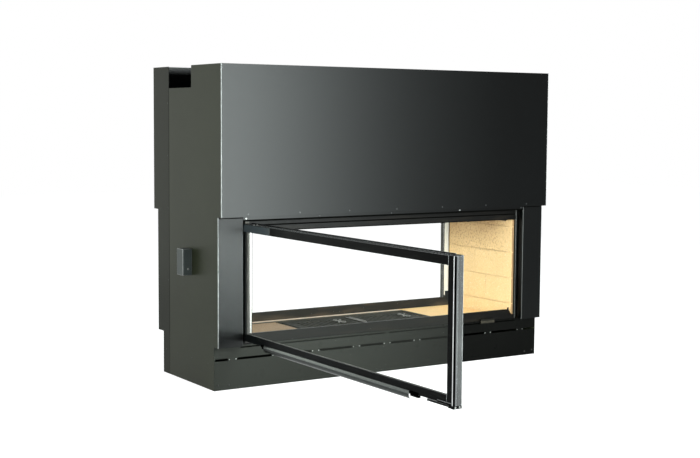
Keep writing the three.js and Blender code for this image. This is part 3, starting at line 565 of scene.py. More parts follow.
for side, turned in TURN_OF.items():
    low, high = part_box(f"hood_{side}")
    face, plane = -HOOD_FACE[side], -JAMB_PLANE[side]
    corner, hollow = CASE_END - FOLD_RADIUS, CASE_END - SHEET - SHEET_FIT
    shell = bmesh.new()
    outline = (arc((-corner, face + FOLD_RADIUS), FOLD_RADIUS, 180, 270)
               + arc((corner, face + FOLD_RADIUS), FOLD_RADIUS, 270, 360)
               + arc((corner, face + FOLD_RADIUS), bend, 360, 270)
               + arc((-corner, face + FOLD_RADIUS), bend, 270, 180))
    # The hood's fold faces take the second finish, a painted highlight.
    mark_folds(run(shell, outline, HOOD_FOOT, high.z, "Z", turned))
    for half, y, z in ((hollow, (face + SHEET, face + HOOD_TOP_FLANGE), (high.z - SHEET, high.z)),
                       (hollow, (face + SHEET, plane + SHEET), (HOOD_FOOT, HOOD_FOOT + SHEET)),
                       (HEADER_HALF, (plane, plane + SHEET), (low.z, HOOD_FOOT))):
        bar(shell, (-half, half), y, z, turned)
    placed(f"hood_{side}_finished", shell, [anthracite, fold_highlight_finish], "case",
           (f"hood_{side}",), 0.0004)

    for hand, sign in (("left", -1), ("right", 1)):
        foot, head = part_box(f"jamb_{side}_{hand}")
        mirrored = sign if side == "front" else -sign
        pivot, near = (corner, plane + FOLD_RADIUS), (OPENING_HALF + FOLD_RADIUS, plane + FOLD_RADIUS)
        outline = (arc(pivot, FOLD_RADIUS, 360, 270) + arc(near, FOLD_RADIUS, 270, 180)
                   + [(OPENING_HALF, plane + JAMB_LIP), (OPENING_HALF + SHEET, plane + JAMB_LIP)]
                   + arc(near, bend, 180, 270) + arc(pivot, bend, 270, 360))
        shell = bmesh.new()
        faces = run(shell, [(mirrored * x, y) for x, y in outline], foot.z, head.z, "Z", turned)
        # The jamb's fold faces take the painted highlight finishes.
        mark_folds(faces, 2)
        mark_folds([one for one in faces if abs(one.calc_center_median().x) > corner - 0.0001])
        placed(f"jamb_{side}_{hand}_finished", shell, [jamb_paint, fold_highlight_finish, inner_fold_highlight], "case",
               (f"jamb_{side}_{hand}",), 0.0004)

    # Painted shade: the dark strips under the hood, on the jambs' tops and on the lintel.
    seal = bmesh.new()
    middle, half_high = sum(SHADE_STRIP_BAND) / 2, (SHADE_STRIP_BAND[1] - SHADE_STRIP_BAND[0]) / 2
    turns = [math.pi * k / SHADE_STRIP_STEPS for k in range(1, SHADE_STRIP_STEPS)]
    rounded = [(plane - SHADE_STRIP_PROUD * math.sin(t), middle - half_high * math.cos(t)) for t in turns]
    run(seal, [(plane, SHADE_STRIP_BAND[0]), *rounded, (plane, SHADE_STRIP_BAND[1])], -SHADE_STRIP_HALF, SHADE_STRIP_HALF, "X", turned)
    bar(seal, (-SHADE_STRIP_HALF, SHADE_STRIP_HALF), LINTEL_SHADE_STRIP[side], LINTEL_SHADE_BAND)
    for sign in (-1, 1):
        bar(seal, sorted(sign * x for x in JAMB_SHADE_STRIP), (plane - SHADE_STRIP_PROUD, plane), JAMB_SHADE_BAND, turned)
    placed(f"hood_{side}_painted_shade_strips", seal, painted_shade_black, "case")

    to_row = long_side(side)
    out = to_row(0, 1, 0)
    spots = [(to_row(x, HOOD_FACE[side] - SCREW_SEAT, HOOD_SCREW_LINE), out) for x in HOOD_SCREWS]
    screws(f"hood_{side}_screws", spots, screw_painted, "case", 0.0042, 0.0018)
    for kind, finish, places in HEADER_SCREWS:
        spots = [(to_row(x, JAMB_PLANE[side], HEADER_SCREW_LINE), out) for x in places]
        screws(f"header_{side}_screws_{kind}", spots, finish, "case", 0.0038, 0.0016)
    eased(f"hood_back_{side}", anthracite)
eased("top_plate", olive_paint)

# Opening frame: a sill and a grooved lintel of folded 4 to 8 mm plate behind each door, in matt black.
# The heat-proof paint is thin and shows warm scuffs; the lintel's groove faces are in the black rope finish, a
# painted shade.


def heatproof(name, paint, scuff, share=0.55):
    black = Finish(name)
    black.set(Base_Color=black.flecked(paint, scuff, share, 0.5, 0.72, 14, 6, (0.4, 1, 3)),
              Roughness=black.ranged(black.grain(40), 0.32, 0.44), Specular_IOR_Level=0.055)
    return black.bumped(black.grain(700), 0.00005).material


frame_black = heatproof("heatproof_black_paint", (0.0013, 0.0012, 0.0010), (0.0075, 0.0058, 0.0038))
scorched = heatproof("scorched_black_paint", (0.008, 0.0060, 0.0042), (0.045, 0.030, 0.018), 0.9)
GROOVE, LINTEL_FACES = (0.7165, 0.7225), (-0.2749, 0.2629)


# The faces inside the lintel's groove, painted black as shade.
def in_groove(place, way):
    return GROOVE[0] < place.z < GROOVE[1] and LINTEL_FACES[0] < place.y < LINTEL_FACES[1]


for side, sill_paint in (("front", frame_black), ("rear", scorched)):
    eased(f"sill_{side}", sill_paint, 0.0008)
    eased(f"lintel_{side}", frame_black, 0.0006, mark=painted_shade_black, marked=in_groove)

# Guide rails and lift gear: folded galvanised channels in a dark, cloudy finish, and on the rear side grooved
# pulleys on pins, laid steel cables and cast balance weights that hang in the casing beside the firebox.
dark_galvanised = metal("dark_cloudy_galvanised", (0.010, 0.010, 0.009), (0.028, 0.026, 0.022), (12, 4, (1, 1, 0.3)),
               0.5, (0.36, 0.5), 300, 600, 0.00003, Specular_IOR_Level=0.2)
turned_steel = metal("turned_steel", (0.38, 0.38, 0.37), (0.56, 0.56, 0.55), (300,), 1.0, (0.22, 0.36), 700, 1800,
                     0.00001)
RUBBED_RAIL = {"front": edge_wear_and_highlight("dull_worn_fold", (0.085, 0.088, 0.085)), "rear": bare_steel_and_highlight}
for side, edge_finish in RUBBED_RAIL.items():
    for hand in ("left", "right"):
        eased(f"guide_rail_{side}_{hand}", dark_galvanised, 0.0008, rubbed=edge_finish)


def cast_iron():
    """Cast iron with a grainy skin, ash in patches and paler flecks."""
    cast = Finish("ash_dusted_cast_iron")
    tone = cast.flecked((0.010, 0.0095, 0.0062), (0.033, 0.028, 0.018), 0.7, 0.5, 0.78, 16, 5)
    cast.set(Base_Color=cast.flecked(tone, (0.06, 0.052, 0.037), 0.3, 0.66, 0.76, 160, 2),
             Specular_IOR_Level=0.02, Roughness=cast.ranged(cast.grain(60), 0.5, 0.7))
    return cast.bumped(cast.grain(150), 0.00012, 0.35).material


def lathed(body, profile, centre, axis, steps=64):
    """Adds a closed (radius, height) profile turned about an axis through centre."""
    spin = Vector((0, 0, 1)).rotation_difference(Vector(axis)).to_matrix()
    turns = [math.tau * i / steps for i in range(steps)]
    skinned(body, [[Vector(centre) + spin @ Vector((r * math.cos(t), r * math.sin(t), h)) for r, h in profile]
                   for t in turns], joined_round=True)


CABLE_RADIUS, CABLE_LOBES, LOBE_DEPTH, CABLE_RING, CABLE_STEP, CABLE_LAY = 0.002, 6, 0.12, 24, 0.0022, 0.016


def wire_rope(body, path):
    """Adds a laid wire rope along a path: a lobed section that twists as it goes."""
    rings, travelled, side_axis = [], 0.0, Vector((0, 1, 0))
    for i, spot in enumerate(path):
        before, after = path[max(i - 1, 0)], path[min(i + 1, len(path) - 1)]
        travelled += (spot - before).length
        across = (after - before).normalized().cross(side_axis).normalized()
        ring = []
        for k in range(CABLE_RING):
            turn = math.tau * k / CABLE_RING
            twist = turn + math.tau * travelled / CABLE_LAY
            reach = CABLE_RADIUS * (1 - LOBE_DEPTH + LOBE_DEPTH * abs(math.cos(CABLE_LOBES * turn / 2)))
            ring.append(spot + reach * (math.cos(twist) * across + math.sin(twist) * side_axis))
        rings.append(ring)
    skinned(body, rings)


def straight(start, end):
    count = max(2, int((end - start).length / CABLE_STEP))
    return [start.lerp(end, i / count) for i in range(count + 1)]


iron = cast_iron()
CABLE_DEPTH, PULLEY_HEIGHT, PULLEY_OUT, PITCH_RADIUS, WRAP_STEPS = 0.250, 1.362, 0.824, 0.030, 40
CABLE_FOOT, CABLE_FALLS_TO = 0.6913, 0.795
WHEEL_HALF = [(0.0061, 0.006), (0.012, 0.006), (0.013, 0.0045), (0.026, 0.0045), (0.028, 0.006), (0.034, 0.006),
              (0.034, 0.0052), (0.0283, 0.0026), (0.0277, 0.0012)]
for hand, sign in (("left", -1), ("right", 1)):
    wheel = bmesh.new()
    lathed(wheel, [(r, -h) for r, h in WHEEL_HALF] + WHEEL_HALF[::-1],
           (sign * PULLEY_OUT, CABLE_DEPTH, PULLEY_HEIGHT), (0, 1, 0))
    placed(f"lift_pulley_{hand}_turned", wheel, turned_steel, f"lift_pulley_{hand}",
           (f"lift_pulley_{hand}",), 0.0, 40)
    inner_x = sign * (PULLEY_OUT - PITCH_RADIUS)
    rise = bmesh.new()
    wire_rope(rise, straight(*(Vector((inner_x, CABLE_DEPTH, z)) for z in (CABLE_FOOT, PULLEY_HEIGHT))))
    rising = placed(f"lift_cable_{hand}_rising", rise, turned_steel, "case",
                    (f"lift_cable_{hand}",), 0.0, 60)
    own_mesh(rising)
    turns = [math.pi * i / WRAP_STEPS for i in range(WRAP_STEPS + 1)]
    wrap = [Vector((sign * (PULLEY_OUT - PITCH_RADIUS * math.cos(t)), CABLE_DEPTH,
                    PULLEY_HEIGHT + PITCH_RADIUS * math.sin(t))) for t in turns]
    low_end = Vector((sign * (PULLEY_OUT + PITCH_RADIUS), CABLE_DEPTH, CABLE_FALLS_TO))
    fall = bmesh.new()
    wire_rope(fall, wrap + straight(wrap[-1], low_end)[1:])
    placed(f"lift_cable_{hand}_falling", fall, turned_steel, "case", (), 0.0, 60)
    eased(f"lift_weight_{hand}", iron, 0.001, f"lift_weight_{hand}")

# Firebox: a floor plate, end walls of 30 mm vermiculite firebricks in courses of 130 mm laid half over half,
# and hearth slabs round the iron plate. The walls turn browner and darker towards the top, and their noses
# beside the doors are painted dark as shade.
NOSE_FROM = 0.2652


def firebrick(name, light, dark, darker_from):
    """Speckled firebrick, browner and darker from a height upwards, with the noses beside the doors painted dark as
    shade.
    """
    brick = Finish(name)
    tone = brick.clouded(light, shade(light, 0.93), 9, 5)
    tone = brick.flecked(tone, (0.92, 0.80, 0.60), 0.6, 0.6, 0.75, 240, 2)
    inward = brick.along("Y", -0.26, -0.12, 0.15, 1)
    cloud = brick.math("MULTIPLY", brick.ranged(brick.grain(7, 4), 0.5, 1.0), inward)
    # Darker towards the top, and less so towards the front opening.
    smoke = brick.math("MULTIPLY", brick.along("Z", darker_from + 0.05, darker_from + 0.24, 0, 0.9), cloud)
    tone = brick.mixed(smoke, tone, dark)
    browned = brick.math("MULTIPLY", brick.along("Z", darker_from, darker_from + 0.12), inward)
    speckled = brick.math("MULTIPLY_ADD", browned, 0.42, 0.14)
    speck = brick.math("MULTIPLY", brick.ranged(brick.grain(105), 0, 1, 0.54, 0.61), speckled)
    tone = brick.mixed(speck, tone, shade(dark, 0.9))
    # The noses beside the doors turn nearly black: painted shade.
    from_middle = brick.math("ABSOLUTE", brick.on_axis("Y"))
    nose_shade = brick.ranged(from_middle, 0, 0.95, NOSE_FROM, NOSE_FROM + 0.0006)
    brick.set(Base_Color=brick.mixed(nose_shade, tone, shade(dark, 0.4)), Roughness=0.92, Specular_IOR_Level=0.15)
    return brick.bumped(brick.grain(380, 4), 0.0005, 0.7).material


def brick_tree():
    """Geometry Nodes: courses of bricks on the X = 0 plane, every second course moved, cut to a given solid."""
    tree, given = new_tree("brick_courses", "Solid", {
        "Brick length": 0.228, "Course height": 0.130, "Joint": 0.0016, "Depth": 0.04, "Stagger": 0.5,
        "Unevenness": 0.0004, "Bricks": 5, "Courses": 5, "Seed": 3}, "Wall", ("Corner",))
    length, height = given["Brick length"], given["Course height"]

    def worked(kind, one, other):
        return field(tree, "ShaderNodeMath", {0: one, 1: other}, operation=kind)

    def added(one, other):
        return field(tree, "ShaderNodeVectorMath", {0: one, 1: other}, operation="ADD")

    def vector(x, y, z):
        return field(tree, "ShaderNodeCombineXYZ", {"X": x, "Y": y, "Z": z})

    line = field(tree, "GeometryNodeMeshLine", {"Count": worked("MULTIPLY", given["Bricks"], given["Courses"])},
                 mode="OFFSET")
    number = field(tree, "GeometryNodeInputIndex")
    course = worked("FLOOR", worked("DIVIDE", number, given["Bricks"]), 0.0)
    along = worked("SUBTRACT", number, worked("MULTIPLY", course, given["Bricks"]))
    shifted = worked("ADD", along, worked("MULTIPLY", worked("MODULO", course, 2.0), given["Stagger"]))
    spot = vector(0.0, worked("MULTIPLY", worked("ADD", shifted, 0.5), length),
                  worked("MULTIPLY", worked("ADD", course, 0.5), height))
    jitter = field(tree, "FunctionNodeRandomValue", {0: (-1, -0.6, -0.6), 1: (1, 0.6, 0.6), "Seed": given["Seed"]},
                   data_type="FLOAT_VECTOR")
    moved = field(tree, "ShaderNodeVectorMath", {0: jitter, "Scale": given["Unevenness"]}, operation="SCALE")
    points = field(tree, "GeometryNodeSetPosition", {
        "Geometry": line, "Position": added(added(spot, given["Corner"]), moved)})
    size = vector(given["Depth"], *(worked("SUBTRACT", whole, given["Joint"]) for whole in (length, height)))
    copies = field(tree, "GeometryNodeInstanceOnPoints", {
        "Points": points, "Instance": field(tree, "GeometryNodeMeshCube", {"Size": size})})
    real = field(tree, "GeometryNodeRealizeInstances", {"Geometry": copies})
    cut = field(tree, "GeometryNodeMeshBoolean", {"Mesh 2": [given["Solid"], real]}, operation="INTERSECT",
                solver="EXACT")
    return dressed(tree, cut, given["Finish"])


BRICK_COURSES = brick_tree()
wall_brick = firebrick("vermiculite_wall_brick", (0.72, 0.50, 0.25), (0.29, 0.165, 0.078), 0.46)
joint_cement = firebrick("joint_cement", (0.66, 0.46, 0.24), (0.22, 0.14, 0.075), 0.47)
BRICK_LENGTH, COURSE_HEIGHT, LOWEST_COURSE, COURSE_SHIFT, BRICK_JOINT = 0.228, 0.1293, 0.137, 0.614, 0.0013
BRICK_START, BRICK_DEPTH, BRICK_BACK, UNEVEN = 0.031 - 2 * BRICK_LENGTH, 0.1, 0.0005, 0.0004
WALL_FACE, WALL_BACK, WALL_SPAN, NOSE_BACK, NOSE_FOOT = 0.760, 0.798, (-0.241, 0.229), 0.772, 0.1937
MORTAR_BACK, MORTAR_HIDDEN = 0.0010, 0.002
DUCT_HALF, DUCT_BAND, DUCT_SHEET = 0.800, (0.171, 0.1925), 0.0008
eased("firebox_floor", olive_paint)
# A thin black sheet at the back of each air duct: painted shade.
for side, out in (("front", -0.2672), ("rear", 0.2352)):
    back = ((-DUCT_HALF, DUCT_HALF), sorted((out, out + math.copysign(DUCT_SHEET, out))), DUCT_BAND, 0)
    barred(f"air_duct_back_{side}", [back], painted_shade_black, "case", 0.0002)

for hand, sign in (("left", -1), ("right", 1)):
    node = f"lining_{hand}"
    low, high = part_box(node)
    grown(f"{node}_bricks", solid_copy(node), BRICK_COURSES, {
        "Brick length": BRICK_LENGTH, "Course height": COURSE_HEIGHT, "Joint": BRICK_JOINT, "Depth": BRICK_DEPTH,
        "Stagger": COURSE_SHIFT, "Unevenness": UNEVEN, "Bricks": 5, "Courses": 5, "Seed": 3 + sign,
        "Corner": (sign * (WALL_FACE + BRICK_DEPTH / 2 + BRICK_BACK), BRICK_START, LOWEST_COURSE),
        "Finish": wall_brick}, "case", (node,), 0.0009, 30)
    mortar = []
    for back, (start, end), foot in ((WALL_BACK - MORTAR_HIDDEN, WALL_SPAN, low.z),
                                     (NOSE_BACK - MORTAR_BACK, (low.y, high.y), NOSE_FOOT)):
        x = sorted((sign * (WALL_FACE + MORTAR_BACK), sign * back))
        y, z = (start + MORTAR_HIDDEN, end - MORTAR_HIDDEN), (foot + MORTAR_HIDDEN, high.z - MORTAR_HIDDEN)
        mortar.append((x, y, z, 0))
    barred(f"{node}_cement", mortar, joint_cement, "case")

ASH_LINE, PLATE_END = 0.1975, 0.412


def ash_covered():
    """Firebrick under pale ash, dark in front of the ash line and clean beside the iron plate."""
    strip = Finish("ash_covered_strip")
    tone = strip.clouded((0.60, 0.48, 0.38), (0.74, 0.60, 0.47), 40, 4)
    tone = strip.mixed(strip.along("Y", ASH_LINE, ASH_LINE + 0.004), (0.030, 0.026, 0.018), tone)
    tone = strip.mixed(strip.along("X", PLATE_END, PLATE_END + 0.006), tone, (0.76, 0.52, 0.25))
    strip.set(Base_Color=tone, Roughness=0.9, Specular_IOR_Level=0.15)
    return strip.bumped(strip.grain(380, 4), 0.0004, 0.6).material


used_slab = firebrick("used_hearth_slab", (0.265, 0.175, 0.096), (0.24, 0.14, 0.09), 0.9)
clean_slab = firebrick("clean_hearth_slab", (0.80, 0.55, 0.26), (0.45, 0.29, 0.15), 0.9)
for slab, finish in (("hearth_tile_left", used_slab), ("hearth_tile_right", clean_slab),
                     ("hearth_strip_front", used_slab), ("hearth_strip_rear", ash_covered())):
    eased(slab, finish, 0.0012)

# Hearth plate and grates: cast iron with a grainy, ash-dusted skin. Each grate lifts out of its rebate by
# a scrolled lug, and a raised rib parts them; a thin flange fills the gap to the slabs, and a black bar in
# the gap at the plate's left edge paints its shadow line.
worn_iron = Finish("rubbed_cast_iron")
worn_iron.set(Base_Color=worn_iron.clouded((0.07, 0.068, 0.06), (0.20, 0.195, 0.18), 90), Metallic=0.6,
              Roughness=0.4)
worn_iron = worn_iron.bumped(worn_iron.grain(500), 0.00004).material
RIB_TOP_FROM = 0.2015
eased("hearth_plate", iron, 0.0009, mark=worn_iron, marked=lambda spot, way: spot.z > RIB_TOP_FROM)


def swept(body, path, outline):
    """Adds an outline carried along a path, its second axis kept near +Z."""
    rings = []
    for i, spot in enumerate(path):
        ahead = (path[min(i + 1, len(path) - 1)] - path[max(i - 1, 0)]).normalized()
        across = Vector((0, 0, 1)).cross(ahead)
        across = across.normalized() if across.length > 0.001 else Vector((1, 0, 0))
        top = ahead.cross(across)
        rings.append([spot + a * across + b * top for a, b in outline])
    skinned(body, rings)


def round_section(radius, sides=10):
    turns = [math.tau * k / sides for k in range(sides)]
    return [(radius * math.cos(t), radius * math.sin(t)) for t in turns]


LUG_PLACES, LUG_HOOKS, LUG_LIFT, LUG_RADIUS = {"left": -0.073, "right": 0.312}, (-0.002, 0.062), 0.0052, 0.0028
CURL_START, CURL_GROWTH, CURL_TURN, CURL_STEPS = 0.005, 0.0036, 1.25, [0.2 * k for k in range(27)]
ROD_PLACE, ROD_RADIUS = 0.035, 0.0040
ROD_LINE = ((-0.046, -0.001), (-0.042, 0.004), (0.108, 0.004), (0.112, -0.001))
for hand, lug_x in LUG_PLACES.items():
    node = f"grate_{hand}"
    eased(node, iron, 0.0009, node)
    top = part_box(node)[1].z
    lugs = bmesh.new()
    for hook, y in zip((-1, 1), LUG_HOOKS):
        curl = []
        for t in CURL_STEPS:
            reach, turn = hook * (CURL_START + CURL_GROWTH * t), CURL_TURN * t
            curl.append(Vector((lug_x + reach * math.cos(turn), y + reach * math.sin(turn), top + LUG_LIFT)))
        swept(lugs, curl, round_section(LUG_RADIUS))
    if hand == "right":
        swept(lugs, [Vector((ROD_PLACE, y, top + lift)) for y, lift in ROD_LINE], round_section(ROD_RADIUS))
    placed(f"{node}_lugs", lugs, worn_iron, node, (), 0.0, 50)
# The second bar, in the black rope finish, paints the shadow line at the plate's left edge.
FLANGES = (((0.3865, 0.4140), (-0.1300, 0.1700), (0.1990, 0.2014), 0),
           ((-0.3420, -0.3370), (-0.1250, 0.1650), (0.1990, 0.2003), 1))
barred("hearth_plate_flange", FLANGES, [iron, painted_shade_black], "case", 0.0005)

# Smoke dome and flue collar: a spot-welded galvanised funnel whose neck passes through the top plate, and
# a rolled collar ring riveted round it for the flue pipe.
FLUE_Y, NECK_INSIDE, NECK_OUTSIDE, NECK_TOP = 0.061, 0.100, 0.104, 1.345
DOME_FOOT, DOME_TOP, DOME_WALL, DOME_STEPS, SHOULDER_HALF = 0.760, 1.230, 0.004, 48, 0.112
DOME_HALF, DOME_SPAN = 0.774, (-0.240, 0.228)


def galvanised_sheet():
    sheet = Finish("galvanised_sheet")
    spangle = sheet.node("TexVoronoi", {"Vector": sheet.place, "Scale": 110.0}).outputs["Color"]
    tone = sheet.node("SeparateColor", {"Color": spangle}).outputs[0]
    sheet.set(Base_Color=sheet.mixed(tone, (0.36, 0.37, 0.37), (0.52, 0.54, 0.54)), Metallic=0.85,
              Roughness=sheet.ranged(tone, 0.32, 0.5, 0, 1))
    return sheet.bumped(sheet.grain(500), 0.00002).material


def square(half_x, y, z, inset=0.0):
    """Points round a rectangle, from its near left corner."""
    x, (start, end) = half_x - inset, (y[0] + inset, y[1] - inset)
    corners = [Vector((-x, start, z)), Vector((x, start, z)), Vector((x, end, z)), Vector((-x, end, z))]
    spots = [divmod(4 * i, DOME_STEPS) for i in range(DOME_STEPS)]
    return [corners[k].lerp(corners[(k + 1) % 4], part / DOME_STEPS) for k, part in spots]


def circle(radius, z):
    """Points round the flue, from the same corner."""
    turns = [math.radians(225) + math.tau * i / DOME_STEPS for i in range(DOME_STEPS)]
    return [Vector((radius * math.cos(t), FLUE_Y + radius * math.sin(t), z)) for t in turns]


galvanised = galvanised_sheet()
shoulder = (FLUE_Y - SHOULDER_HALF, FLUE_Y + SHOULDER_HALF)
dome = bmesh.new()
skinned(dome, [square(DOME_HALF, DOME_SPAN, DOME_FOOT), square(SHOULDER_HALF, shoulder, DOME_TOP),
               circle(NECK_OUTSIDE, DOME_TOP), circle(NECK_OUTSIDE, NECK_TOP), circle(NECK_INSIDE, NECK_TOP),
               circle(NECK_INSIDE, DOME_TOP - DOME_WALL),
               square(SHOULDER_HALF, shoulder, DOME_TOP - DOME_WALL, DOME_WALL),
               square(DOME_HALF, DOME_SPAN, DOME_FOOT, DOME_WALL)], joined_round=True)
placed("smoke_dome_formed", dome, galvanised, "case", ("smoke_dome",), 0.0, 30)
ring_low, ring_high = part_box("flue_collar")
COLLAR_FOOT = [(0.1045, 0), (0.114, 0), (0.114, 0.0034), (0.1134, 0.004), (0.1095, 0.004), (0.1075, 0.006)]
COLLAR_HEAD = [(0.1075, -0.014), (0.1069, -0.013), (0.1069, -0.011), (0.1075, -0.010), (0.1075, -0.0015),
               (0.106, 0), (0.1052, 0), (0.1045, -0.0008)]
COLLAR_RADIUS, COLLAR_RIVETS, RIVET_HEIGHT = 0.1075, 12, 1.345
collar = bmesh.new()
lathed(collar, [(r, ring_low.z + h) for r, h in COLLAR_FOOT] + [(r, ring_high.z + h) for r, h in COLLAR_HEAD],
       (0, FLUE_Y, 0), (0, 0, 1), 96)
placed("flue_collar_rolled", collar, galvanised, "case", ("flue_collar",), 0.0, 30)
turns = [math.tau * k / COLLAR_RIVETS for k in range(COLLAR_RIVETS)]
rivet_ring = [((COLLAR_RADIUS * math.cos(t), FLUE_Y + COLLAR_RADIUS * math.sin(t), RIVET_HEIGHT),
               (math.cos(t), math.sin(t), 0)) for t in turns]
screws("flue_collar_rivets", rivet_ring, screw_zinc, "case", 0.003, 0.0012)

# Cover box on the left end: a small folded box over the control cable, painted grey-green, with a painted
# highlight along its edges in the lighter fold finish, and closed at each side by one screw.
box_paint = painted("box_paint", (0.050, 0.058, 0.056), 0.42, 0.12)
eased("side_box", box_paint, 0.0016, rubbed=fold_highlight_finish)
box_low, box_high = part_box("side_box")
BOX_SCREW_OFF, BOX_SCREW_UP = 0.004, 0.028
screw_x, screw_z = (box_low.x + box_high.x) / 2 + BOX_SCREW_OFF, box_low.z + BOX_SCREW_UP
screws("side_box_screws", [((screw_x, box_low.y, screw_z), (0, -1, 0)), ((screw_x, box_high.y, screw_z), (0, 1, 0))],
       screw_zinc, "case", 0.005, 0.002)

# Hinge bar of the front door: a galvanised flat with two forged arms, dark like the guide rail that it
# stands in.
eased("door_hinge_bar", dark_galvanised, 0.0006)

# Doors: a frame of folded channel in blue-black stove enamel round a 4 mm ceramic glass, which lies in a
# woven glass-fibre seal between steel beads. A hollow pull runs along each door on two mounts.
DOOR_PLACES = {
    "front": Matrix.Translation((-0.762, -0.296, 0.216)) @ Matrix.Rotation(-math.pi / 2, 4, "Z"),
    "rear": Matrix.Translation((0.762, 0.284, 0.201)) @ Matrix.Rotation(math.pi, 4, "Z"),
}
LATCH_END_REACH = (-1.75, -0.75)


def enamel():
    """Enamel with cloudy tones and grey scuffs, darker towards the latch end."""
    coat = Finish("blue_black_stove_enamel")
    tone = coat.clouded((0.0020, 0.0024, 0.0025), (0.0060, 0.0068, 0.0068), 5, 4)
    tone = coat.mixed(coat.along("Y", *LATCH_END_REACH), (0.0010, 0.0012, 0.0012), tone)
    coat.set(Base_Color=coat.flecked(tone, (0.016, 0.017, 0.015), 0.35, 0.56, 0.75, 34, 6, (1, 0.25, 2)),
             Roughness=coat.ranged(coat.grain(18), 0.28, 0.36), Specular_IOR_Level=0.025)
    return coat.bumped(coat.grain(1000), 0.00003).material


def brushed(name, colour, stretch, smooth=0.2, rough=0.3, near_hinge=1.0):
    """Steel with fine brush lines, by near_hinge lighter at the hinge end of the open door."""
    steel = Finish(name)
    lines = steel.grain(900, 2, stretch)
    tone = steel.mixed(steel.ranged(lines, 0, 1), shade(colour, 0.8), shade(colour, 1.15))
    if near_hinge > 1:
        tone = steel.mixed(steel.along("Y", *LATCH_END_REACH), tone, shade(colour, near_hinge))
    steel.set(Base_Color=tone, Metallic=0.95, Roughness=steel.ranged(lines, smooth, rough))
    return steel.bumped(lines, 0.00003).material


def ceramic_glass():
    """Glass without a mirror image, whose faint even glow is a painted reflection; it casts only a thin shadow."""
    pane = Finish("ceramic_glass")
    # The emission is a faint glow that paints the pane's reflection.
    pane.set(Base_Color=pane.clouded((0.985, 0.995, 0.990), (0.997, 1.0, 0.998), 3, 5, (1, 1, 0.2)),
             Roughness=0.0, IOR=1.003, Transmission_Weight=1.0, Emission_Color=(0.90, 1.0, 0.88),
             Emission_Strength=0.0122)
    clear = pane.node("BsdfTransparent", {"Color": (0.93, 0.95, 0.94)}).outputs[0]
    shadow = pane.node("LightPath").outputs["Is Shadow Ray"]
    either = pane.node("MixShader", {0: shadow, 1: pane.shader.outputs[0], 2: clear})
    pane.feed(pane.out.inputs["Surface"], either.outputs[0])
    return pane.material


door_enamel = enamel()
glass = ceramic_glass()
# Lighter steels that paint highlights: on rail edges, and on the top rail's top, lighter again near the hinge.
rail_edge_highlight = brushed("edge_highlight_steel", (0.20, 0.21, 0.21), (0.02, 1, 1))
rail_top_highlight = brushed("top_highlight_steel", (0.090, 0.095, 0.095), (0.3, 0.3, 1), near_hinge=2.0)
pull_steel = brushed("pull_profile_steel", (0.022, 0.026, 0.024), (1, 0.02, 1))
pull_top_highlight = brushed("pull_top_highlight_steel", (0.112, 0.124, 0.118), (1, 0.02, 1))
bead_grey = brushed("glazing_bead_steel", (0.12, 0.118, 0.11), (0.02, 1, 1))
tape_grey = painted("grey_glazing_tape", (0.050, 0.0485, 0.045), 0.6, 0.05)
seal_rope = twisted("glass_fibre_seal", 420.0, 1.5, (0.035, 0.033, 0.030), (0.11, 0.105, 0.095), 0.9, 0.0004, 0.7)
RAIL_HEIGHT, RAIL_INNER, RAIL_SHEET, RAIL_UPSTAND, RAIL_FIT = 0.0335, 0.020, 0.0016, 0.006, 0.0003
DOOR_HEIGHT, DOOR_HALF_DEPTH = 0.513, 0.017
UPSTAND_FROM, UPSTAND_BELOW = DOOR_HALF_DEPTH - 0.004, 0.0002
PULL_SPAN, PULL_MOUNTS, PULL_LIGHT_BAND = (0.200, 1.272), ((0.172, 0.1997), (1.2723, 1.322)), 0.004
MOUNT_BLOCKS = (((-0.0215, -DOOR_HALF_DEPTH), (-0.0025, 0.0085)), ((-0.0165, -0.0050), (-0.0110, -0.0004)))
PULL_PROFILE = [(-0.0171, 0.0085), (-0.0196, 0.0078), (-0.0216, 0.0052), (-0.0228, 0.0015), (-0.0235, -0.0030),
                (-0.0235, -0.0085), (-0.0226, -0.0140), (-0.0206, -0.0185), (-0.0175, -0.0210), (-0.0130, -0.0215),
                (-0.0130, -0.0193), (-0.0166, -0.0187), (-0.0190, -0.0168), (-0.0206, -0.0130), (-0.0213, -0.0082),
                (-0.0213, -0.0035), (-0.0207, 0.0005), (-0.0196, 0.0038), (-0.0171, 0.0052)]
GLASS_X, GLASS_Z, GLASS_BACK = (0.0258, 1.4897), (0.0335, 0.4795), -0.0097
SEAL_RADIUS, BEAD_SHEET, BEAD_NEAR, BEAD_FAR = 0.0028, 0.0012, -0.0095, 0.0138
TAPED_TO, TAPE_WIDTH, TAPE_DEPTH = 0.0045, 0.010, (-0.0094, -0.0084)
LEVEL, FACING_UP, UPRIGHT = 0.9, 0.1, 0.01
STILES = {"front": ("stile_hinge", "stile_latch"), "rear": ("stile_left", "stile_right")}
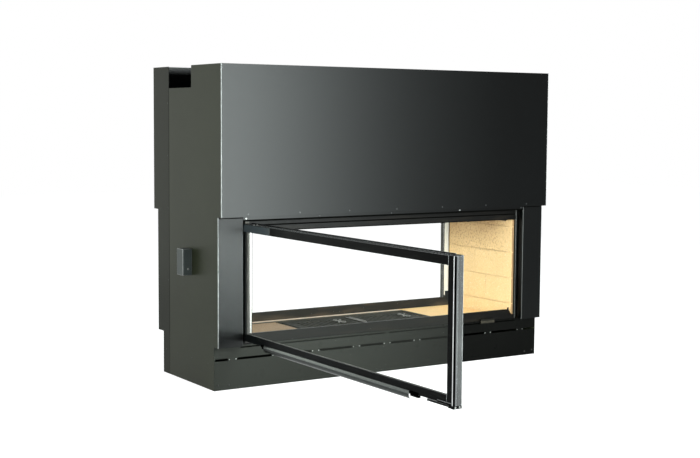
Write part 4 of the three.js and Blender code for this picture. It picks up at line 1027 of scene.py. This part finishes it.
for door, place in DOOR_PLACES.items():
    body_name = f"{door}_door"
    span = (GLASS_X[0] - RAIL_FIT, GLASS_X[1] + RAIL_FIT)
    # The top rail's upward faces and the rails' eased edges take the lighter steels: painted highlights.
    for part, edge, up in (("rail_top", DOOR_HEIGHT, -1), ("rail_bottom", 0, 1)):
        rail = bmesh.new()
        front, back, skin = -DOOR_HALF_DEPTH, DOOR_HALF_DEPTH, edge + up * RAIL_SHEET
        foot, lip = edge + up * RAIL_HEIGHT, edge + up * RAIL_INNER
        web = [(front, edge), (front, foot), (front + RAIL_SHEET, foot), (front + RAIL_SHEET, skin),
               (back - RAIL_SHEET, skin), (back - RAIL_SHEET, lip), (back, lip), (back, edge)]
        for made in run(rail, web, *span, "X", place):
            made.normal_update()
            if up < 0 and made.normal.z > LEVEL:
                made.material_index = 1
        if up < 0:
            bar(rail, span, (UPSTAND_FROM, DOOR_HALF_DEPTH), (edge - UPSTAND_BELOW, edge + RAIL_UPSTAND), place)
        placed(f"{door}_door_{part}_folded", rail, [door_enamel, rail_top_highlight, rail_edge_highlight], body_name,
               (f"{door}_door_{part}",), 0.0009, rubbed=True)
    for part in STILES[door]:
        eased(f"{door}_door_{part}", door_enamel, 0.0009, body_name)
    eased(f"{door}_door_glass", glass, 0.0006, body_name)

    rope = bmesh.new()
    x0, x1, behind = GLASS_X[0] + SEAL_RADIUS, GLASS_X[1] - SEAL_RADIUS, GLASS_BACK + SEAL_RADIUS
    z0, z1 = GLASS_Z[0] - SEAL_RADIUS, GLASS_Z[1] + SEAL_RADIUS
    for ends in (((x0, z0), (x1, z0)), ((x0, z1), (x1, z1)), ((x0, z0), (x0, z1)), ((x1, z0), (x1, z1))):
        swept(rope, [place @ Vector((x, behind, z)) for x, z in ends], round_section(SEAL_RADIUS))
    placed(f"{door}_door_seal", rope, seal_rope, body_name, (), 0.0, 60)

    taped_to = TAPED_TO if door == "front" else BEAD_NEAR
    hinge_bead = (GLASS_X[0] - BEAD_SHEET, GLASS_X[0])
    beads = [(hinge_bead, (taped_to, BEAD_FAR), GLASS_Z, 0),
             ((GLASS_X[1], GLASS_X[1] + BEAD_SHEET), (BEAD_NEAR, BEAD_FAR), GLASS_Z, 0)]
    if door == "front":
        beads += [(hinge_bead, (BEAD_NEAR, taped_to), GLASS_Z, 1),
                  ((GLASS_X[0], GLASS_X[0] + TAPE_WIDTH), TAPE_DEPTH, GLASS_Z, 1)]
    barred(f"{door}_door_glazing_bead", beads, [bead_grey, tape_grey], body_name, 0.0003, place)

    # The pull's upper faces take lighter steel, a painted highlight; its cut ends take the black rope finish, painted
    # shade.
    pull = bmesh.new()
    run(pull, PULL_PROFILE, *PULL_SPAN, "X", place)
    for face in pull.faces:
        face.normal_update()
        if face.calc_center_median().z > place.translation.z - PULL_LIGHT_BAND and face.normal.z > FACING_UP:
            face.material_index = 1
        if abs(face.normal.z) < UPRIGHT and len(face.verts) > 4:
            face.material_index = 2
    placed(f"{door}_door_pull", pull, [pull_steel, pull_top_highlight, painted_shade_black], body_name,
           (f"{door}_door_handle",), 0.0003, 30)
    # The mounts are in the black rope finish: painted shade behind the pull's ends.
    mounts = [(x, y, z, 0) for x in PULL_MOUNTS for y, z in MOUNT_BLOCKS]
    barred(f"{door}_door_pull_mounts", mounts, painted_shade_black, body_name, 0.0008, place)

# Rear door's stile strips: pale painted steel with shallow grooves, clipped to the inside of both stiles.
# The profile lists (share of the width, height over the stile) from the glass outwards.
strip_steel = painted("pale_stile_strip", (0.46, 0.43, 0.375), 0.4, 0.5)
STRIP_BACK, STRIP_SPAN = 0.0170, (0.0345, 0.4785)
STRIP_PROFILE = [(0, 0), (0, 0.0012), (0.10, 0.0012), (0.13, 0.0003), (0.24, 0.0003), (0.27, 0.0012),
                 (0.48, 0.0012), (0.50, 0.0008), (0.54, 0.0008), (0.56, 0.0012), (0.86, 0.0012), (0.89, 0.0003),
                 (0.95, 0.0003), (1, 0.001), (1, 0)]
for end, start, width in (("near", 0.0250, -0.0315), ("far", 1.4908, 0.0402)):
    strip = bmesh.new()
    shape = [(start + share * width, STRIP_BACK + height) for share, height in STRIP_PROFILE]
    run(strip, shape, *STRIP_SPAN, "Z", DOOR_PLACES["rear"])
    placed(f"rear_door_stile_strip_{end}", strip, strip_steel, "rear_door", (), 0.0002)

# Front door's free edge: a brushed post with a bright bead, a fine groove and a recess whose black bar paints
# its shade, closed by a cap at each end, and the enamelled latch lever with its guide. A blue plate lies on
# the rail at the hinge.
post_steel = brushed("brushed_post_steel", (0.122, 0.127, 0.126), (1, 1, 0.012), 0.10, 0.15)
post_band = brushed("lighter_post_band", (0.195, 0.205, 0.205), (1, 1, 0.012), 0.10, 0.15)
bead_steel = brushed("polished_bead", (0.62, 0.63, 0.63), (1, 1, 0.02))
hinge_blue = painted("hinge_plate_enamel", (0.045, 0.054, 0.058), 0.36, 0.075)
post_place = DOOR_PLACES["front"]
POST_LOW, POST_HIGH, POST_START, POST_END, POST_FACE, LIGHT_BAND_TO = -0.004, 0.513, 1.518, 1.532, 0.017, -0.0054
BEAD_CENTRE, BEAD_RADIUS, BEAD_GAP, BEAD_STEPS = (1.5224, -0.0165), 0.0022, 0.0035, 16
NEAR_ROUND, FAR_ROUND, ROUND_STEPS = 0.0012, 0.0015, 4
POST_GROOVE, GROOVE_DEPTH = (-0.0056, -0.0052, -0.0044, -0.0040), 0.0005
CAP_FACE, CAP_REACH, BAND_FROM, ROUND_BACK = POST_END - 0.0006, 0.0040, POST_END - 0.0013, 0.0008
recess = -POST_FACE + 2 * BEAD_GAP
post_span = (POST_LOW + CAP_REACH, POST_HIGH)
post = bmesh.new()
outline = ([(POST_START, recess)]
           + arc((POST_END - NEAR_ROUND, recess - ROUND_BACK), NEAR_ROUND, 270, 360, ROUND_STEPS)
           + list(zip((POST_END, POST_END - GROOVE_DEPTH, POST_END - GROOVE_DEPTH, POST_END), POST_GROOVE))
           + arc((POST_END - FAR_ROUND, POST_FACE - FAR_ROUND), FAR_ROUND, 0, 90, ROUND_STEPS)
           + [(POST_START, POST_FACE)])
for face in run(post, outline, *post_span, "Z", post_place):
    middle = post_place.inverted() @ face.calc_center_median()
    if middle.x > BAND_FROM and middle.y < LIGHT_BAND_TO:
        face.material_index = 3
run(post, arc(BEAD_CENTRE, BEAD_RADIUS, 180, 360, BEAD_STEPS), *post_span, "Z", post_place, 1)
# A black bar fills the recess behind the bead: painted shade.
bar(post, (POST_START, POST_END - BEAD_GAP), (BEAD_CENTRE[1], recess), post_span, post_place, 2)
placed("front_door_post", post, [post_steel, bead_steel, painted_shade_black, post_band], "front_door",
       ("front_door_end_post",), 0.0002, 30)
# The lever's eased edges take the rail edge highlight.
eased("front_latch_lever", door_enamel, 0.0011, "front_latch", rubbed=rail_edge_highlight)

cap_low, cap_high = POST_LOW - 0.0075, POST_HIGH + 0.0022
# Light steel on the top cap and the latch guide, and on the hinge plate's edges, paints their highlights.
FITTINGS = {
    "post_caps": ([rail_top_highlight, door_enamel], 0.0006, (
        ((1.4960, POST_END), (-0.0182, 0.0186), (POST_HIGH + 0.0001, cap_high), 0),
        ((1.5040, 1.5300), (-0.0150, 0.0150), (cap_high, POST_HIGH + 0.0040), 1),
        ((POST_START + 0.0004, CAP_FACE), (-0.0195, 0.0176), (cap_low, POST_LOW + CAP_REACH), 1))),
    # The guide's lower bar, in the black rope finish, paints the shadow under it.
    "latch_guide": ([rail_top_highlight, painted_shade_black], 0.0003, (
        ((1.4380, 1.5170), (-0.0186, -0.0171), (0.0050, 0.0085), 0),
        ((1.4380, 1.5170), (-0.0176, -0.0171), (-0.0005, 0.0048), 1))),
    "hinge_plate": ([hinge_blue, rail_edge_highlight], 0.0004, (((-0.0070, 0.240), (-0.0180, -0.0171), (0.4805, 0.5122), 0),)),
}
for fitting, (finishes, edge, bars) in FITTINGS.items():
    barred(f"front_door_{fitting}", bars, finishes, "front_door", edge, post_place,
           rubbed=fitting == "hinge_plate")

# The real jamb beside these two is too dull to mirror them.
for unmirrored in ("front_door_hinge_plate", "front_door_rail_top_folded"):
    bpy.data.objects[unmirrored].visible_glossy = False
CAP_SCREWS, CAP_SCREW_SEAT, CAP_SCREW_HEIGHT = (-0.010, 0.008), CAP_FACE - 0.0008, POST_LOW - 0.0015
HINGE_SCREWS, HINGE_TOP = ((-0.768, -0.378), (-0.752, -0.378)), 0.7290
cap_spots = [(post_place @ Vector((CAP_SCREW_SEAT, y, CAP_SCREW_HEIGHT)), (0, -1, 0)) for y in CAP_SCREWS]
screws("front_door_post_cap_screws", cap_spots, screw_zinc, "front_door", 0.0042, 0.0014)
hinge_spots = [((x, y, HINGE_TOP), (0, 0, 1)) for x, y in HINGE_SCREWS]
screws("front_door_hinge_screws", hinge_spots, screw_zinc, "front_door", 0.0042, 0.0022)

# Air levers: folded brass tabs in darkened bronze, painted nearly black along their upper and lower edges as
# shade. One slides in the long slot of each base panel.
bronze = Finish("darkened_bronze_with_edge_shade")
low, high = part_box("air_lever_front")
from_middle = bronze.math("ABSOLUTE", bronze.math("SUBTRACT", bronze.on_axis("Z"), (low.z + high.z) / 2))
tone = bronze.clouded((0.015, 0.0135, 0.0095), (0.038, 0.034, 0.024), 90, 4)
# Nearly black away from the middle height: painted shade along the tab's upper and lower edges.
tone = bronze.mixed(bronze.ranged(from_middle, 0, 0.85, 0.0045, 0.0065), tone, (0.002, 0.002, 0.001))
bronze.set(Base_Color=tone, Metallic=0.85, Roughness=bronze.ranged(bronze.grain(200), 0.34, 0.5))
bronze.bumped(bronze.grain(800), 0.00004)
for side in ("front", "rear"):
    eased(f"air_lever_{side}", bronze.material, 0.0008, f"air_lever_{side}")
